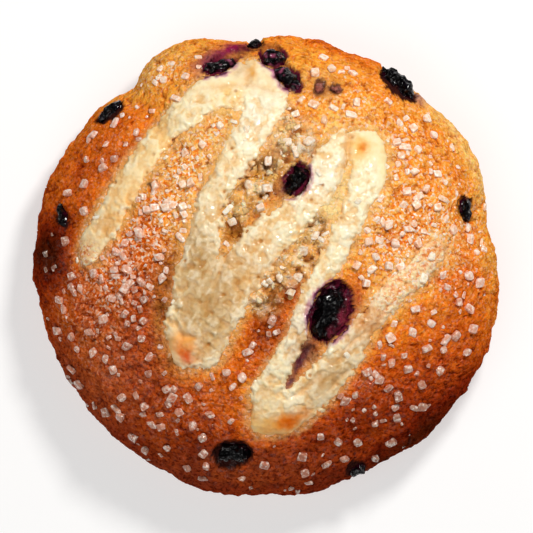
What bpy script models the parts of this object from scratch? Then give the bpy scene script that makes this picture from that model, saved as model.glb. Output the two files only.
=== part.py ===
"""Muffin top: a low domed cake with a zigzag ribbon of cream cheese baked into it, berries and coarse sugar.

Metres, +Z up. The origin is the middle of the flat base. Seen from above, +Y is the far side.
Each node is one solid: the cake with its crust, torn crumb and sugar crystals, the ribbon, and every berry.
"""

import math
import random
from collections import namedtuple

import bmesh
import bpy
import numpy as np
from mathutils import Matrix, Vector, noise
from mathutils.bvhtree import BVHTree

MM = 0.001

# The cake: its widest line, its height, the height of that line, and its flat base
RADIUS = 52.4 * MM
HEIGHT = 37.0 * MM
RIM_HEIGHT = 11.0 * MM
BASE_RADIUS = 44.0 * MM
# The dome's half section: a higher fullness flattens the top, a higher shoulder makes the side less steep
DOME_FULLNESS = 2.5
SHOULDER = 0.58
# Squares along each side of the cube that is blown up to the cake, and the share of the ball that is crust
GRID = 18
CRUST_TURN = 0.72
# The crust's uneven surface: broad swells and small ripples, quiet within LEVEL_REACH of the ribbon
SWELL = 0.9 * MM
SWELL_SIZE = 15 * MM
RIPPLE = 0.3 * MM
RIPPLE_SIZE = 4.5 * MM
LEVEL_REACH = 6 * MM
LEVEL_LEFT = 0.25

# Where the rim stands out or is notched: direction, half width (degrees), and how far out (mm)
RIM_LOBES = (
    (11, 7, -1.3),
    (28, 10, 0.8),
    (58, 9, 0.9),
    (96, 6, -0.9),
    (114, 11, 1.8),
    (127, 5, -2.4),
    (155, 9, 0.8),
    (181, 5, 0.6),
    (206, 13, -1.0),
    (250, 22, -0.7),
    (289, 5, -0.9),
    (300, 5, -1.3),
    (338, 14, 0.9),
)

# The ribbon's limbs, in the order they were piped: x, y and half width, in mm
LIMBS = (
    (
        (-40.5, 2.6, 2.4),
        (-38.6, 7, 3.3),
        (-34.6, 13, 3.5),
        (-30.8, 20.2, 3.4),
        (-25.7, 26.9, 3.2),
        (-19.9, 33.3, 3.4),
        (-13.6, 39, 3.9),
        (-7, 42.3, 4.5),
        (-1.5, 42.4, 4.6),
    ),
    (
        (-11.6, 37.6, 2.3),
        (-7.6, 38.0, 2.8),
        (-3.4, 38.0, 3.2),
    ),
    (
        (0.3, 41.6, 4.8),
        (0.3, 38, 4.8),
        (-1.7, 33, 4.6),
        (-4.9, 28, 4.2),
        (-8.4, 22.5, 3.7),
        (-11.3, 17, 3.5),
        (-13.4, 11, 3.8),
        (-14.6, 5, 4.2),
        (-16, -1, 4.7),
        (-17.4, -7, 4.8),
        (-18.1, -13, 4.9),
        (-16.8, -18.7, 5.0),
    ),
    (
        (-14, -18.3, 5.3),
        (-12, -12.5, 6.0),
        (-9.5, -6, 6.1),
        (-5.4, -0.4, 5.8),
        (-0.8, 4.4, 5.3),
        (3.4, 9, 4.7),
        (7.7, 13.6, 4.0),
        (12.4, 18.4, 4.5),
        (14.6, 23.2, 4.4),
        (17.0, 27.6, 3.9),
    ),
    (
        (17.2, 27.5, 3.9),
        (22.2, 27.2, 4.2),
    ),
    (
        (22.8, 26.8, 4.5),
        (23.7, 22.5, 4.3),
        (22, 17.5, 4.1),
        (19.8, 12.5, 3.7),
        (17.3, 7, 3.1),
        (14.6, 1.5, 2.8),
        (11.7, -3.5, 2.6),
        (9.4, -9, 2.6),
        (7.6, -14, 2.6),
        (5.3, -19, 2.6),
        (2.8, -24, 3.1),
        (0.5, -29, 4.2),
        (0.3, -33.8, 4.8),
    ),
    (
        (1, -34, 4.7),
        (4.5, -33, 4.9),
        (9, -29.9, 4.7),
        (13.5, -25.5, 4.5),
        (17.3, -20.5, 4.1),
        (20.8, -15.5, 3.6),
        (24.5, -10.8, 3.1),
        (29, -6.2, 3.1),
        (34, -1.5, 3.0),
        (38.6, 3.6, 2.4),
    ),
)
# A limb is a bead. Its widest line lies RIBBON_SINK under the plain dome, and its top RIBBON_RISE above that line
RIBBON_SINK = 1.1 * MM
RIBBON_RISE = 1.9 * MM
RIBBON_DEPTH = 3.6 * MM
# The groove's top, far enough up that no cake hangs over the ribbon, and the gap left between neighbours
GROOVE_RISE = 9 * MM
GAP = 0.35 * MM
# Directions round the bead's section (degrees): three points above, one at each side and one below
SECTION = (0, 42, 90, 138, 180, 270)
SQUARENESS = 0.75
BEAD_STEP = 5.2 * MM
# An end's rings: how far out each lies and how wide it is, as shares of the bead's half width
END_RINGS = ((0.5, 0.87), (0.87, 0.5))
# Spacing of the points by which distances to a line are measured
MEASURE_STEP = 1.5 * MM

# Hollows torn in the crust between the limbs: x, y, reach and depth, in mm
HOLLOWS = (
    (-7.2, 8, 3.0, 3.4),
    (-3, 11, 3.4, 1.8),
    (0.3, 23.3, 3.2, 4.0),
    (-3.6, 23.4, 2.4, 2.8),
    (2.5, 17, 3.4, 2.4),
    (10.5, 26, 2.4, 1.8),
    (10.5, 10, 3.6, 2.2),
    (9.5, 4.5, 3.4, 1.6),
    (-0.5, -9.6, 3.0, 1.6),
    (9.5, -20.5, 3.8, 1.8),
    (-24, -10.8, 3.0, 1.4),
)
# Strips of rough torn crumb: x, y and half width, in mm
CRUMB_STRIPS = (
    ((-8, 12, 3), (-4, 17, 4.2), (-1, 21, 3.6)),
    ((4, 34, 3), (5.5, 29, 5), (6, 25, 4.5)),
    ((11, 12, 3), (9, 5, 4.2), (5, 0, 5), (2, -5, 4.5), (-1, -9, 3)),
)
CRUMB_RELIEF = 1.1 * MM
CRUMB_SIZE = 2.4 * MM
# A strip's crumb fades out between these shares of its half width
CRUMB_FADE = (0.75, 1.35)

# x, y, half sizes along, across and through (mm), turn in plan (degrees), how far the middle lies under the
# crust (mm), and how often the ball's triangles are cut in four
Berry = namedtuple("Berry", "name x y along across through turn sink cuts")
BERRIES = (
    Berry("berry_heart", 14.8, -10.3, 7.4, 4.5, 4.2, 68, 2.6, 3),
    Berry("berry_centre", 6.9, 19.9, 4.0, 2.6, 2.8, 62, 1.6, 2),
    Berry("berry_crown_tall", 1.5, 48.0, 3.1, 2.6, 2.8, -28, 1.4, 2),
    Berry("berry_crown_low", 5.0, 43.3, 4.2, 2.1, 2.4, -55, 1.2, 2),
    Berry("berry_crown_left", -10.4, 46.2, 4.8, 1.9, 2.2, 26, 1.2, 2),
    Berry("berry_far_rim", -2.6, 51.0, 2.0, 1.1, 1.3, 14, 0.6, 2),
    Berry("berry_right_rim", 30.2, 42.0, 5.6, 2.7, 3.2, -48, 1.1, 2),
    Berry("berry_right", 45.7, 13.0, 3.0, 1.7, 2.0, -75, 0.9, 2),
    Berry("berry_front", -7.6, -42.6, 4.5, 3.1, 3.2, 6, 1.7, 2),
    Berry("berry_front_rim", 20.7, -46.2, 2.2, 2.1, 2.2, 0, 0.4, 2),
    Berry("berry_left", -46.6, 11.8, 3.2, 1.3, 1.8, -62, 0.7, 2),
    Berry("berry_left_rim", -35.6, 35.4, 3.6, 1.9, 2.4, 40, 0.7, 2),
    Berry("berry_buried_left", 12.2, 40.9, 1.7, 1.2, 1.4, 60, 0.7, 2),
    Berry("berry_buried_right", 15.9, 40.5, 1.5, 1.1, 1.3, 0, 0.6, 2),
)
BERRY_WRINKLE = 0.18
WRINKLE_PITCH = 2.3

# Coarse sugar: the edges of a crystal, how much flatter it is than wide, the share of it under the crust, and
# how far it leans at most (radians)
CRYSTAL_EDGE = (1.5 * MM, 2.2 * MM)
CRYSTAL_FLATNESS = 0.72
CRYSTAL_SUNK = 0.3
CRYSTAL_LEAN = 0.4
# How many, how far from the middle, and the least distance to each other and to the ribbon and the berries
CRYSTALS = 135
CRYSTAL_REACH = 50.0 * MM
CRYSTAL_SPACING = 3.7 * MM
CRYSTAL_CLEARANCE = 1.7 * MM
SUGAR_SEED = 7

CRUST_COLOUR = (0.52, 0.17, 0.035, 1)
CREAM_COLOUR = (0.86, 0.70, 0.44, 1)
BERRY_COLOUR = (0.022, 0.010, 0.022, 1)
# Edges sharper than this stay sharp in the smooth shading
CREASE = math.radians(38)


def clear_scene():
    for thing in list(bpy.data.objects):
        bpy.data.objects.remove(thing, do_unlink=True)


def material(name, colour, roughness):
    made = bpy.data.materials.new(name)
    made.use_nodes = True
    surface = made.node_tree.nodes["Principled BSDF"]
    surface.inputs["Base Color"].default_value = colour
    surface.inputs["Roughness"].default_value = roughness
    surface.inputs["Metallic"].default_value = 0.0
    return made


def add_object(name, mesh, look=None):
    made = bpy.data.objects.new(name, mesh)
    bpy.context.scene.collection.objects.link(made)
    if look:
        mesh.materials.append(look)
    return made


def mesh_from(shape, name):
    mesh = bpy.data.meshes.new(name)
    shape.to_mesh(mesh)
    shape.free()
    return mesh


def smooth_step(share):
    share = np.clip(share, 0, 1)
    return share * share * (3 - 2 * share)


def lumps(x, y, z, size, seed):
    """Smooth noise from about -1 to 1, whose lumps are about size across."""
    shift = Vector((7.31, 3.17, 5.73)) * seed
    points = np.stack([x, y, z], axis=-1) / size
    return np.array([noise.fractal(Vector(point) + shift, 1.0, 2.0, 3) for point in points])


def rim_radius(direction):
    """Plan radius of the widest line, with its lobes and notches."""
    radius = np.full(np.shape(direction), RADIUS)
    for degrees, half_width, out in RIM_LOBES:
        turn = np.angle(np.exp(1j * (direction - math.radians(degrees))))
        radius += out * MM * np.exp(-((turn / math.radians(half_width)) ** 2))
    return radius


def dome_height(x, y):
    """Height of the plain dome over a point of the plan."""
    share = np.clip(np.hypot(x, y) / rim_radius(np.arctan2(y, x)), 0, 1)
    return RIM_HEIGHT + (HEIGHT - RIM_HEIGHT) * (1 - share**DOME_FULLNESS) ** SHOULDER


def dome_up(x, y):
    """Direction straight out of the plain dome over a point of the plan."""
    step = 1 * MM
    slope_x = float(dome_height(x - step, y) - dome_height(x + step, y)) / (2 * step)
    slope_y = float(dome_height(x, y - step) - dome_height(x, y + step)) / (2 * step)
    return Vector((slope_x, slope_y, 1)).normalized()


def side_curve():
    """The cake's half section from the top's middle round the rim to the edge of the base.

    It gives the share of the length so far, the share of the rim's radius, and the height.
    """
    turn = np.linspace(0, math.pi / 2, 400)
    base_share = BASE_RADIUS / RADIUS
    dome_out = np.sin(turn) ** (2 / DOME_FULLNESS)
    dome_rise = RIM_HEIGHT + (HEIGHT - RIM_HEIGHT) * np.cos(turn) ** (2 * SHOULDER)
    under_out = base_share + (1 - base_share) * np.cos(turn[1:])
    under_rise = RIM_HEIGHT * (1 - np.sin(turn[1:]))
    out = np.concatenate([dome_out, under_out])
    rise = np.concatenate([dome_rise, under_rise])
    run = np.hypot(np.diff(out * RADIUS), np.diff(rise))
    along = np.concatenate([[0], np.cumsum(run)])
    return along / along[-1], out, rise


def smooth_path(stroke, step):
    """Points (x, y, half width) in metres about step apart, on a smooth curve through a stroke's points."""
    knots = [Vector(knot) * MM for knot in stroke]
    knots = [knots[0] * 2 - knots[1], *knots, knots[-1] * 2 - knots[-2]]
    path = [tuple(knots[1])]
    for before, start, end, after in zip(knots, knots[1:], knots[2:], knots[3:]):
        pieces = max(1, round((end.xy - start.xy).length / step))
        for i in range(1, pieces + 1):
            t = i / pieces
            bend = before * 2 - start * 5 + end * 4 - after
            twist = start * 3 - before - end * 3 + after
            path.append(tuple(start + ((end - before) * t + bend * t**2 + twist * t**3) / 2))
    return path


def distance_to(x, y, strokes):
    """Distance in plan to the nearest stroke's edge (negative inside), and the same as a share of its width."""
    away, share = [], []
    for stroke in strokes:
        path = np.array(smooth_path(stroke, MEASURE_STEP))
        middle = np.hypot(x[:, None] - path[:, 0], y[:, None] - path[:, 1])
        away.append((middle - path[:, 2]).min(axis=1))
        share.append((middle / path[:, 2]).min(axis=1))
    return np.min(away, axis=0), np.min(share, axis=0)


def torn(x, y):
    """1 on torn crumb, falling to 0 on whole crust."""
    share = distance_to(x, y, CRUMB_STRIPS)[1]
    inner, outer = CRUMB_FADE
    return smooth_step((outer - share) / (outer - inner))


def relief(x, y, z):
    """How far the crust stands out from the plain dome. Along the ribbon the crust lies level with it."""
    out = SWELL * lumps(x, y, z, SWELL_SIZE, 1) + RIPPLE * lumps(x, y, z, RIPPLE_SIZE, 2)
    out += CRUMB_RELIEF * torn(x, y) * lumps(x, y, z, CRUMB_SIZE, 3)
    out *= smooth_step(LEVEL_LEFT + distance_to(x, y, LIMBS)[0] / LEVEL_REACH)
    for hollow_x, hollow_y, reach, depth in HOLLOWS:
        away = np.hypot(x - hollow_x * MM, y - hollow_y * MM)
        out -= depth * MM * smooth_step(1 - away / (reach * MM))
    return out


def cake_mesh():
    """The cake as a ball of square patches, laid over the half section, on a flat base."""
    shape = bmesh.new()
    bmesh.ops.create_cube(shape, size=2)
    bmesh.ops.subdivide_edges(shape, edges=shape.edges, cuts=GRID - 1, use_grid_fill=True)
    for vertex in shape.verts:
        evened = [math.tan(part * math.pi / 4) for part in vertex.co]
        vertex.co = Vector(evened).normalized()
    drop_base(shape)
    refine_crumb(shape)
    places = crust_points(np.array([v.co for v in shape.verts]))
    for vertex, place in zip(shape.verts, places):
        vertex.co = place
    add_base(shape)
    bmesh.ops.triangulate(shape, faces=shape.faces)
    bmesh.ops.recalc_face_normals(shape, faces=shape.faces)
    return mesh_from(shape, "cake")


def drop_base(shape):
    """Removes the patches beyond the crust, and draws their edge out to a level circle."""
    low = math.cos(math.pi * CRUST_TURN)
    under = [f for f in shape.faces if f.calc_center_median().z < low]
    bmesh.ops.delete(shape, geom=under, context="FACES")
    ring = {v for e in shape.edges if e.is_boundary for v in e.verts}
    for vertex in ring:
        flat = vertex.co.xy.normalized() * math.sin(math.pi * CRUST_TURN)
        vertex.co = (*flat, low)


def refine_crumb(shape):
    """Cuts the patches of torn crumb in four."""
    ball = np.array([v.co for v in shape.verts])
    x, y, _ = plain_points(ball)
    rough = (torn(x, y) > 0.5) & (ball[:, 2] > 0)
    edges = [e for e in shape.edges if all(rough[v.index] for v in e.verts)]
    bmesh.ops.subdivide_edges(shape, edges=edges, cuts=1, use_grid_fill=True)


def plain_points(ball):
    """Plan places and heights on the plain cake for points of the unit ball."""
    along, out, rise = side_curve()
    share = np.arccos(np.clip(ball[:, 2], -1, 1)) / (math.pi * CRUST_TURN)
    direction = np.arctan2(ball[:, 1], ball[:, 0])
    radius = rim_radius(direction) * np.interp(share, along, out)
    return radius * np.cos(direction), radius * np.sin(direction), np.interp(share, along, rise)


def crust_points(ball):
    """Places on the uneven crust for points of the unit ball. The relief dies out towards the base."""
    x, y, z = plain_points(ball)
    steepness = np.maximum(z - RIM_HEIGHT, 0.05 * HEIGHT) / HEIGHT
    out = np.stack([x / RADIUS, y / RADIUS, steepness], axis=1)
    out /= np.linalg.norm(out, axis=1)[:, None]
    height = relief(x, y, z) * smooth_step(z / RIM_HEIGHT)
    return np.stack([x, y, z], axis=1) + out * height[:, None]


def add_base(shape):
    """The flat base, as a fan round its middle."""
    rim = [e for e in shape.edges if e.is_boundary]
    middle = shape.verts.new((0, 0, 0))
    for edge in rim:
        shape.faces.new((*edge.verts, middle))


def bead_ring(shape, path, i, grow, rise, shrink=1.0, push=0.0):
    """The bead's section: a rounded oval that follows the dome's slope. push moves it along the bead."""
    x, y, half = path[i]
    ahead = Vector(path[min(i + 1, len(path) - 1)]) - Vector(path[max(i - 1, 0)])
    ahead = ahead.xy.normalized()
    side = Vector((-ahead.y, ahead.x))
    ring = []
    for degrees in SECTION:
        across = math.cos(math.radians(degrees))
        upward = math.sin(math.radians(degrees))
        across = math.copysign(abs(across) ** SQUARENESS, across) * (half + grow) * shrink
        upward = math.copysign(abs(upward) ** SQUARENESS, upward) * shrink
        place = Vector((x, y)) + side * across + ahead * push
        level = float(dome_height(place.x, place.y)) - RIBBON_SINK
        reach = (rise if upward > 0 else RIBBON_DEPTH) + grow
        ring.append(shape.verts.new((*place, level + upward * reach)))
    return ring


def join_rings(shape, ring, following):
    for i in range(len(ring)):
        shape.faces.new((ring[i - 1], ring[i], following[i], following[i - 1]))


def limb_mesh(stroke, grow, rise):
    """One limb of the ribbon: a bead with round ends, lying in the crust. grow makes it fatter all round."""
    path = smooth_path(stroke, BEAD_STEP)
    shape = bmesh.new()
    rings = [bead_ring(shape, path, i, grow, rise) for i in range(len(path))]
    for ring, following in zip(rings, rings[1:]):
        join_rings(shape, ring, following)
    for end, sign in ((0, -1), (len(path) - 1, 1)):
        ring = rings[end]
        for out, shrink in END_RINGS:
            push = sign * out * (path[end][2] + grow)
            following = bead_ring(shape, path, end, grow, rise, shrink, push)
            join_rings(shape, ring, following)
            ring = following
        shape.faces.new(ring)
    bmesh.ops.triangulate(shape, faces=shape.faces)
    bmesh.ops.recalc_face_normals(shape, faces=shape.faces)
    return mesh_from(shape, "limb")


def ribbon_solid(name, look, grow=0.0, rise=RIBBON_RISE):
    """The limbs joined to one solid."""
    limbs = [add_object(name, limb_mesh(stroke, grow, rise), look) for stroke in LIMBS]
    combine(limbs[0], limbs[1:], "UNION")
    return limbs[0]


def berry_mesh(berry, grow, seed):
    """A wrinkled ball, lying in the crust along the dome's slope. grow makes it fatter all round."""
    x, y = berry.x * MM, berry.y * MM
    up = dome_up(x, y)
    along = Matrix.Rotation(math.radians(berry.turn), 3, "Z") @ Vector((1, 0, 0))
    along = (along - up * along.dot(up)).normalized()
    axes = Matrix((along, up.cross(along), up)).transposed()
    centre = Vector((x, y, float(dome_height(x, y)))) - up * berry.sink * MM
    sizes = Matrix.Diagonal((berry.along, berry.across, berry.through)) * MM
    shape = bmesh.new()
    bmesh.ops.create_icosphere(shape, subdivisions=berry.cuts, radius=1)
    for vertex in shape.verts:
        crease = abs(noise.noise(vertex.co * WRINKLE_PITCH + Vector((seed, 0, 0))))
        local = sizes @ vertex.co * (1 - BERRY_WRINKLE * crease) + vertex.co * grow
        vertex.co = centre + axes @ local
    return mesh_from(shape, berry.name)


def crystal_places():
    """Plan places of the crystals, spread evenly, clear of the ribbon, the berries and each other."""
    draw = random.Random(SUGAR_SEED)
    places = []
    while len(places) < CRYSTALS:
        radius = CRYSTAL_REACH * math.sqrt(draw.random())
        turn = draw.uniform(0, 2 * math.pi)
        x, y = radius * math.cos(turn), radius * math.sin(turn)
        place = Vector((x, y, float(dome_height(x, y))))
        to_ribbon = distance_to(np.array([x]), np.array([y]), LIMBS)[0][0]
        to_berry = min(math.hypot(x - b.x * MM, y - b.y * MM) - b.along * MM for b in BERRIES)
        to_crystal = min([(place - other).length for other in places], default=math.inf)
        if min(to_ribbon, to_berry) > CRYSTAL_CLEARANCE and to_crystal > CRYSTAL_SPACING:
            places.append(place)
    return places


def crystal_mesh(place, up, draw):
    """A sugar crystal: a block that leans at random, partly sunk in the crust."""
    edges = [draw.uniform(*CRYSTAL_EDGE) for _ in range(3)]
    edges[2] *= CRYSTAL_FLATNESS
    lay = up.to_track_quat("Z", "Y").to_matrix()
    for axis, most in (("X", CRYSTAL_LEAN), ("Y", CRYSTAL_LEAN), ("Z", math.pi)):
        lay = lay @ Matrix.Rotation(draw.uniform(-most, most), 3, axis)
    centre = place + up * edges[2] * (0.5 - CRYSTAL_SUNK)
    shape = bmesh.new()
    bmesh.ops.create_cube(shape, size=1)
    for vertex in shape.verts:
        vertex.co = centre + lay @ (Matrix.Diagonal(edges) @ vertex.co)
    bmesh.ops.triangulate(shape, faces=shape.faces)
    return mesh_from(shape, "crystal")


def crystals(cake):
    """The crystals, each standing on the cake's surface."""
    draw = random.Random(SUGAR_SEED)
    corners = [v.co for v in cake.data.vertices]
    surface = BVHTree.FromPolygons(corners, [tuple(p.vertices) for p in cake.data.polygons])
    made = []
    for place in crystal_places():
        above = place + Vector((0, 0, HEIGHT))
        foot, up, _, _ = surface.ray_cast(above, Vector((0, 0, -1)))
        made.append(add_object("crystal", crystal_mesh(foot, up, draw)))
    return made


def combine(target, others, operation):
    """One Boolean of target with all the others, applied. The others are removed."""
    helpers = bpy.data.collections.new("helpers")
    bpy.context.scene.collection.children.link(helpers)
    for other in others:
        bpy.context.scene.collection.objects.unlink(other)
        helpers.objects.link(other)
    step = target.modifiers.new(operation.lower(), "BOOLEAN")
    step.operation = operation
    step.operand_type = "COLLECTION"
    step.collection = helpers
    step.solver = "MANIFOLD"
    bpy.context.view_layer.update()
    graph = bpy.context.evaluated_depsgraph_get()
    result = bpy.data.meshes.new_from_object(target.evaluated_get(graph))
    target.modifiers.clear()
    target.data = result
    for other in others:
        bpy.data.objects.remove(other)
    bpy.data.collections.remove(helpers)
    drop_scraps(result)


def drop_scraps(mesh):
    """Drops the loose scraps that a cut leaves, and cuts the faces to triangles."""
    shape = bmesh.new()
    shape.from_mesh(mesh)
    bodies = separate_bodies(shape)
    largest = max(bodies, key=len)
    scraps = [v for body in bodies if body is not largest for v in body]
    bmesh.ops.delete(shape, geom=scraps, context="VERTS")
    bmesh.ops.triangulate(shape, faces=shape.faces, ngon_method="EAR_CLIP")
    shape.to_mesh(mesh)
    shape.free()


def separate_bodies(shape):
    """The vertices of each body."""
    bodies, seen = [], set()
    for start in shape.verts:
        if start in seen:
            continue
        seen.add(start)
        body = [start]
        for vertex in body:
            near = {e.other_vert(vertex) for e in vertex.link_edges} - seen
            seen |= near
            body.extend(near)
        bodies.append(body)
    return bodies


def shade_smooth(mesh):
    mesh.polygons.foreach_set("use_smooth", [True] * len(mesh.polygons))
    mesh.set_sharp_from_angle(angle=CREASE)


def main():
    clear_scene()
    crust = material("crust", CRUST_COLOUR, 0.6)
    cream = material("cream", CREAM_COLOUR, 0.4)
    skin = material("berry_skin", BERRY_COLOUR, 0.3)

    pockets = []
    for seed, berry in enumerate(BERRIES):
        add_object(berry.name, berry_mesh(berry, 0.0, seed), skin)
        pockets.append(add_object("pocket", berry_mesh(berry, GAP, seed)))

    ribbon = ribbon_solid("cream_ribbon", cream)
    groove = ribbon_solid("groove", None, GAP, GROOVE_RISE)
    combine(ribbon, [add_object("pocket", pocket.data.copy()) for pocket in pockets], "DIFFERENCE")

    cake = add_object("cake", cake_mesh(), crust)
    combine(cake, [groove], "DIFFERENCE")
    combine(cake, pockets, "DIFFERENCE")
    combine(cake, crystals(cake), "UNION")

    for thing in bpy.data.objects:
        shade_smooth(thing.data)


main()
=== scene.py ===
"""Looks of the muffin top: browned crust, torn crumb, baked cream cheese, burst berries and coarse sugar.

Metres, +Z up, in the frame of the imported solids. Seen from above, +Y is the far side. The tables and the
sizes of noise are in mm. A noise's seed follows its size.
"""

import itertools
import math
import random
from collections import namedtuple

import bmesh
import bpy
import numpy as np
from mathutils import Matrix, Vector, noise
from mathutils.bvhtree import BVHTree


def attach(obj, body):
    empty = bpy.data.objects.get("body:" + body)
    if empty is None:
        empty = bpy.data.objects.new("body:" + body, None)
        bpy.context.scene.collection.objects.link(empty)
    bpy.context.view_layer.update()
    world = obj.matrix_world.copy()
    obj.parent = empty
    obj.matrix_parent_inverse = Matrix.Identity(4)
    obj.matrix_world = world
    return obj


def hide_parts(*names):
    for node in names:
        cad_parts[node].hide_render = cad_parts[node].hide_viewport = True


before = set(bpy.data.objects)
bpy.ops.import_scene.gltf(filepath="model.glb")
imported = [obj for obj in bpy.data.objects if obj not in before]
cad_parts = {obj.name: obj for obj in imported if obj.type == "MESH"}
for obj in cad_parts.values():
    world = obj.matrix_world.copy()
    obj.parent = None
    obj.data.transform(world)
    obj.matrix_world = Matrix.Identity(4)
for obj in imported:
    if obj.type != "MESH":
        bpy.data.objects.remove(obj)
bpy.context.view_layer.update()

MM = 0.001

# ---- the form, in the solids' own sizes

RADIUS = 52.4 * MM
HEIGHT = 37 * MM
RIM_HEIGHT = 11 * MM
BASE_RADIUS = 44 * MM
DOME_FULLNESS = 2.5
SHOULDER = 0.58
SWELL = 0.9 * MM
SWELL_SIZE = 15 * MM
RIPPLE = 0.3 * MM
RIPPLE_SIZE = 4.5 * MM
LEVEL_REACH = 6 * MM
LEVEL_LEFT = 0.25

# lobes of the rim: direction, half width in degrees, how far out
RIM_LOBES = (
    (11, 7, -1.3), (28, 10, 0.8), (58, 9, 0.9), (96, 6, -0.9), (114, 11, 1.8), (127, 5, -2.4),
    (155, 9, 0.8), (181, 5, 0.6), (206, 13, -1), (250, 22, -0.7), (289, 5, -0.9), (300, 5, -1.3),
    (338, 14, 0.9),
)

# the ribbon's strokes and turns, with the half width at every knot
LIMBS = (
    (
        (-40.5, 2.6, 2.4), (-38.6, 7, 3.3), (-34.6, 13, 3.5), (-30.8, 20.2, 3.4), (-25.7, 26.9, 3.2),
        (-19.9, 33.3, 3.4), (-13.6, 39, 3.9), (-7, 42.3, 4.5), (-1.5, 42.4, 4.6),
    ),
    ((-11.6, 37.6, 2.3), (-7.6, 38, 2.8), (-3.4, 38, 3.2)),
    (
        (0.3, 41.6, 4.8), (0.3, 38, 4.8), (-1.7, 33, 4.6), (-4.9, 28, 4.2), (-8.4, 22.5, 3.7),
        (-11.3, 17, 3.5), (-13.4, 11, 3.8), (-14.6, 5, 4.2), (-16, -1, 4.7), (-17.4, -7, 4.8),
        (-18.1, -13, 4.9), (-16.8, -18.7, 5),
    ),
    (
        (-14, -18.3, 5.3), (-12, -12.5, 6), (-9.5, -6, 6.1), (-5.4, -0.4, 5.8), (-0.8, 4.4, 5.3),
        (3.4, 9, 4.7), (7.7, 13.6, 4), (12.4, 18.4, 4.5), (14.6, 23.2, 4.4), (17, 27.6, 3.9),
    ),
    ((17.2, 27.5, 3.9), (22.2, 27.2, 4.2)),
    (
        (22.8, 26.8, 4.5), (23.7, 22.5, 4.3), (22, 17.5, 4.1), (19.8, 12.5, 3.7), (17.3, 7, 3.1),
        (14.6, 1.5, 2.8), (11.7, -3.5, 2.6), (9.4, -9, 2.6), (7.6, -14, 2.6), (5.3, -19, 2.6),
        (2.8, -24, 3.1), (0.5, -29, 4.2), (0.3, -33.8, 4.8),
    ),
    (
        (1, -34, 4.7), (4.5, -33, 4.9), (9, -29.9, 4.7), (13.5, -25.5, 4.5), (17.3, -20.5, 4.1),
        (20.8, -15.5, 3.6), (24.5, -10.8, 3.1), (29, -6.2, 3.1), (34, -1.5, 3), (38.6, 3.6, 2.4),
    ),
)
RIBBON_SINK = 1.1 * MM
RIBBON_RISE = 1.9 * MM
SQUARENESS = 0.75
MEASURE_STEP = 1.5 * MM
CREASE_STEP = 0.4 * MM

# torn hollows: x, y, reach, depth
HOLLOWS = (
    (-7.2, 8, 3, 3.4), (-3, 11, 3.4, 1.8), (0.3, 23.3, 3.2, 4), (-3.6, 23.4, 2.4, 2.8),
    (2.5, 17, 3.4, 2.4), (10.5, 26, 2.4, 1.8), (10.5, 10, 3.6, 2.2), (9.5, 4.5, 3.4, 1.6),
    (-0.5, -9.6, 3, 1.6), (9.5, -20.5, 3.8, 1.8), (-24, -10.8, 3, 1.4),
)
# where the crust is torn open to the crumb: x, y, half width
CRUMB_STRIPS = (
    ((-8, 12, 3), (-4, 17, 4.2), (-1, 21, 3.6)),
    ((4, 34, 3), (5.5, 29, 5), (6, 25, 4.5)),
    ((11, 12, 3), (9, 5, 4.2), (5, 0, 5), (2, -5, 4.5), (-1, -9, 3)),
)
CRUMB_RELIEF = 1.1 * MM
CRUMB_FADE = (0.75, 1.35)

# a berry's place, half sizes, turn in degrees and how far its middle lies below the dome
Berry = namedtuple("Berry", "name x y along across through turn sink")
BERRIES = [
    Berry("berry_" + name, *sizes)
    for name, *sizes in (
        ("heart", 14.8, -10.3, 7.4, 4.5, 4.2, 68, 2.6),
        ("centre", 6.9, 19.9, 4, 2.6, 2.8, 62, 1.6),
        ("crown_tall", 1.5, 48, 3.1, 2.6, 2.8, -28, 1.4),
        ("crown_low", 5, 43.3, 4.2, 2.1, 2.4, -55, 1.2),
        ("crown_left", -10.4, 46.2, 4.8, 1.9, 2.2, 26, 1.2),
        ("far_rim", -2.6, 51, 2, 1.1, 1.3, 14, 0.6),
        ("right_rim", 30.2, 42, 5.6, 2.7, 3.2, -48, 1.1),
        ("right", 45.7, 13, 3, 1.7, 2, -75, 0.9),
        ("front", -7.6, -42.6, 4.5, 3.1, 3.2, 6, 1.7),
        ("front_rim", 20.7, -46.2, 2.2, 2.1, 2.2, 0, 0.4),
        ("left", -46.6, 11.8, 3.2, 1.3, 1.8, -62, 0.7),
        ("left_rim", -35.6, 35.4, 3.6, 1.9, 2.4, 40, 0.7),
        ("buried_left", 12.2, 40.9, 1.7, 1.2, 1.4, 60, 0.7),
        ("buried_right", 15.9, 40.5, 1.5, 1.1, 1.3, 0, 0.6),
    )
]
# berries whose juice has run out round them
BURST = ("berry_heart", "berry_centre", "berry_crown_tall", "berry_crown_low", "berry_crown_left")
BERRY_WRINKLE = 0.18
WRINKLE_PITCH = 2.3

CRYSTAL_EDGE = (1.5 * MM, 2.2 * MM)
CRYSTAL_FLATNESS = 0.72
CRYSTAL_SUNK = 0.3
CRYSTAL_LEAN = 0.4
CRYSTALS = 135
CRYSTAL_REACH = 50 * MM
CRYSTAL_SPACING = 3.7 * MM
CRYSTAL_CLEARANCE = 1.7 * MM
SUGAR_SEED = 7

# ---- fineness and finer forms

CRUST_GRID = 300
TOP_FINER = 0.3
BASE_RINGS = 5
CREAM_GRID = 0.236 * MM
CREAM_DEPTH = 2.4 * MM
CREAM_MARGIN = 1.5 * MM
CREAM_REACH = 2.5 * MM
CREAM_STEP = 0.6 * MM
RIBBON_BED = 2.6 * MM
CRUST_GRAIN = 0.2 * MM
CRACK_DEPTH = 0.45 * MM
RIM_ROUGHNESS = (0.45 * MM, 0.4 * MM)
BERRY_CUTS = 5
# further than anything it is compared with
FAR = 9.0
# how many different slopes and dots the noises have, and what gives each cell one of the dots
NOISE_SLOPES = 256
NOISE_DOTS = 4096
SPREAD = (73856093, 19349663, 83492791)

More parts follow.
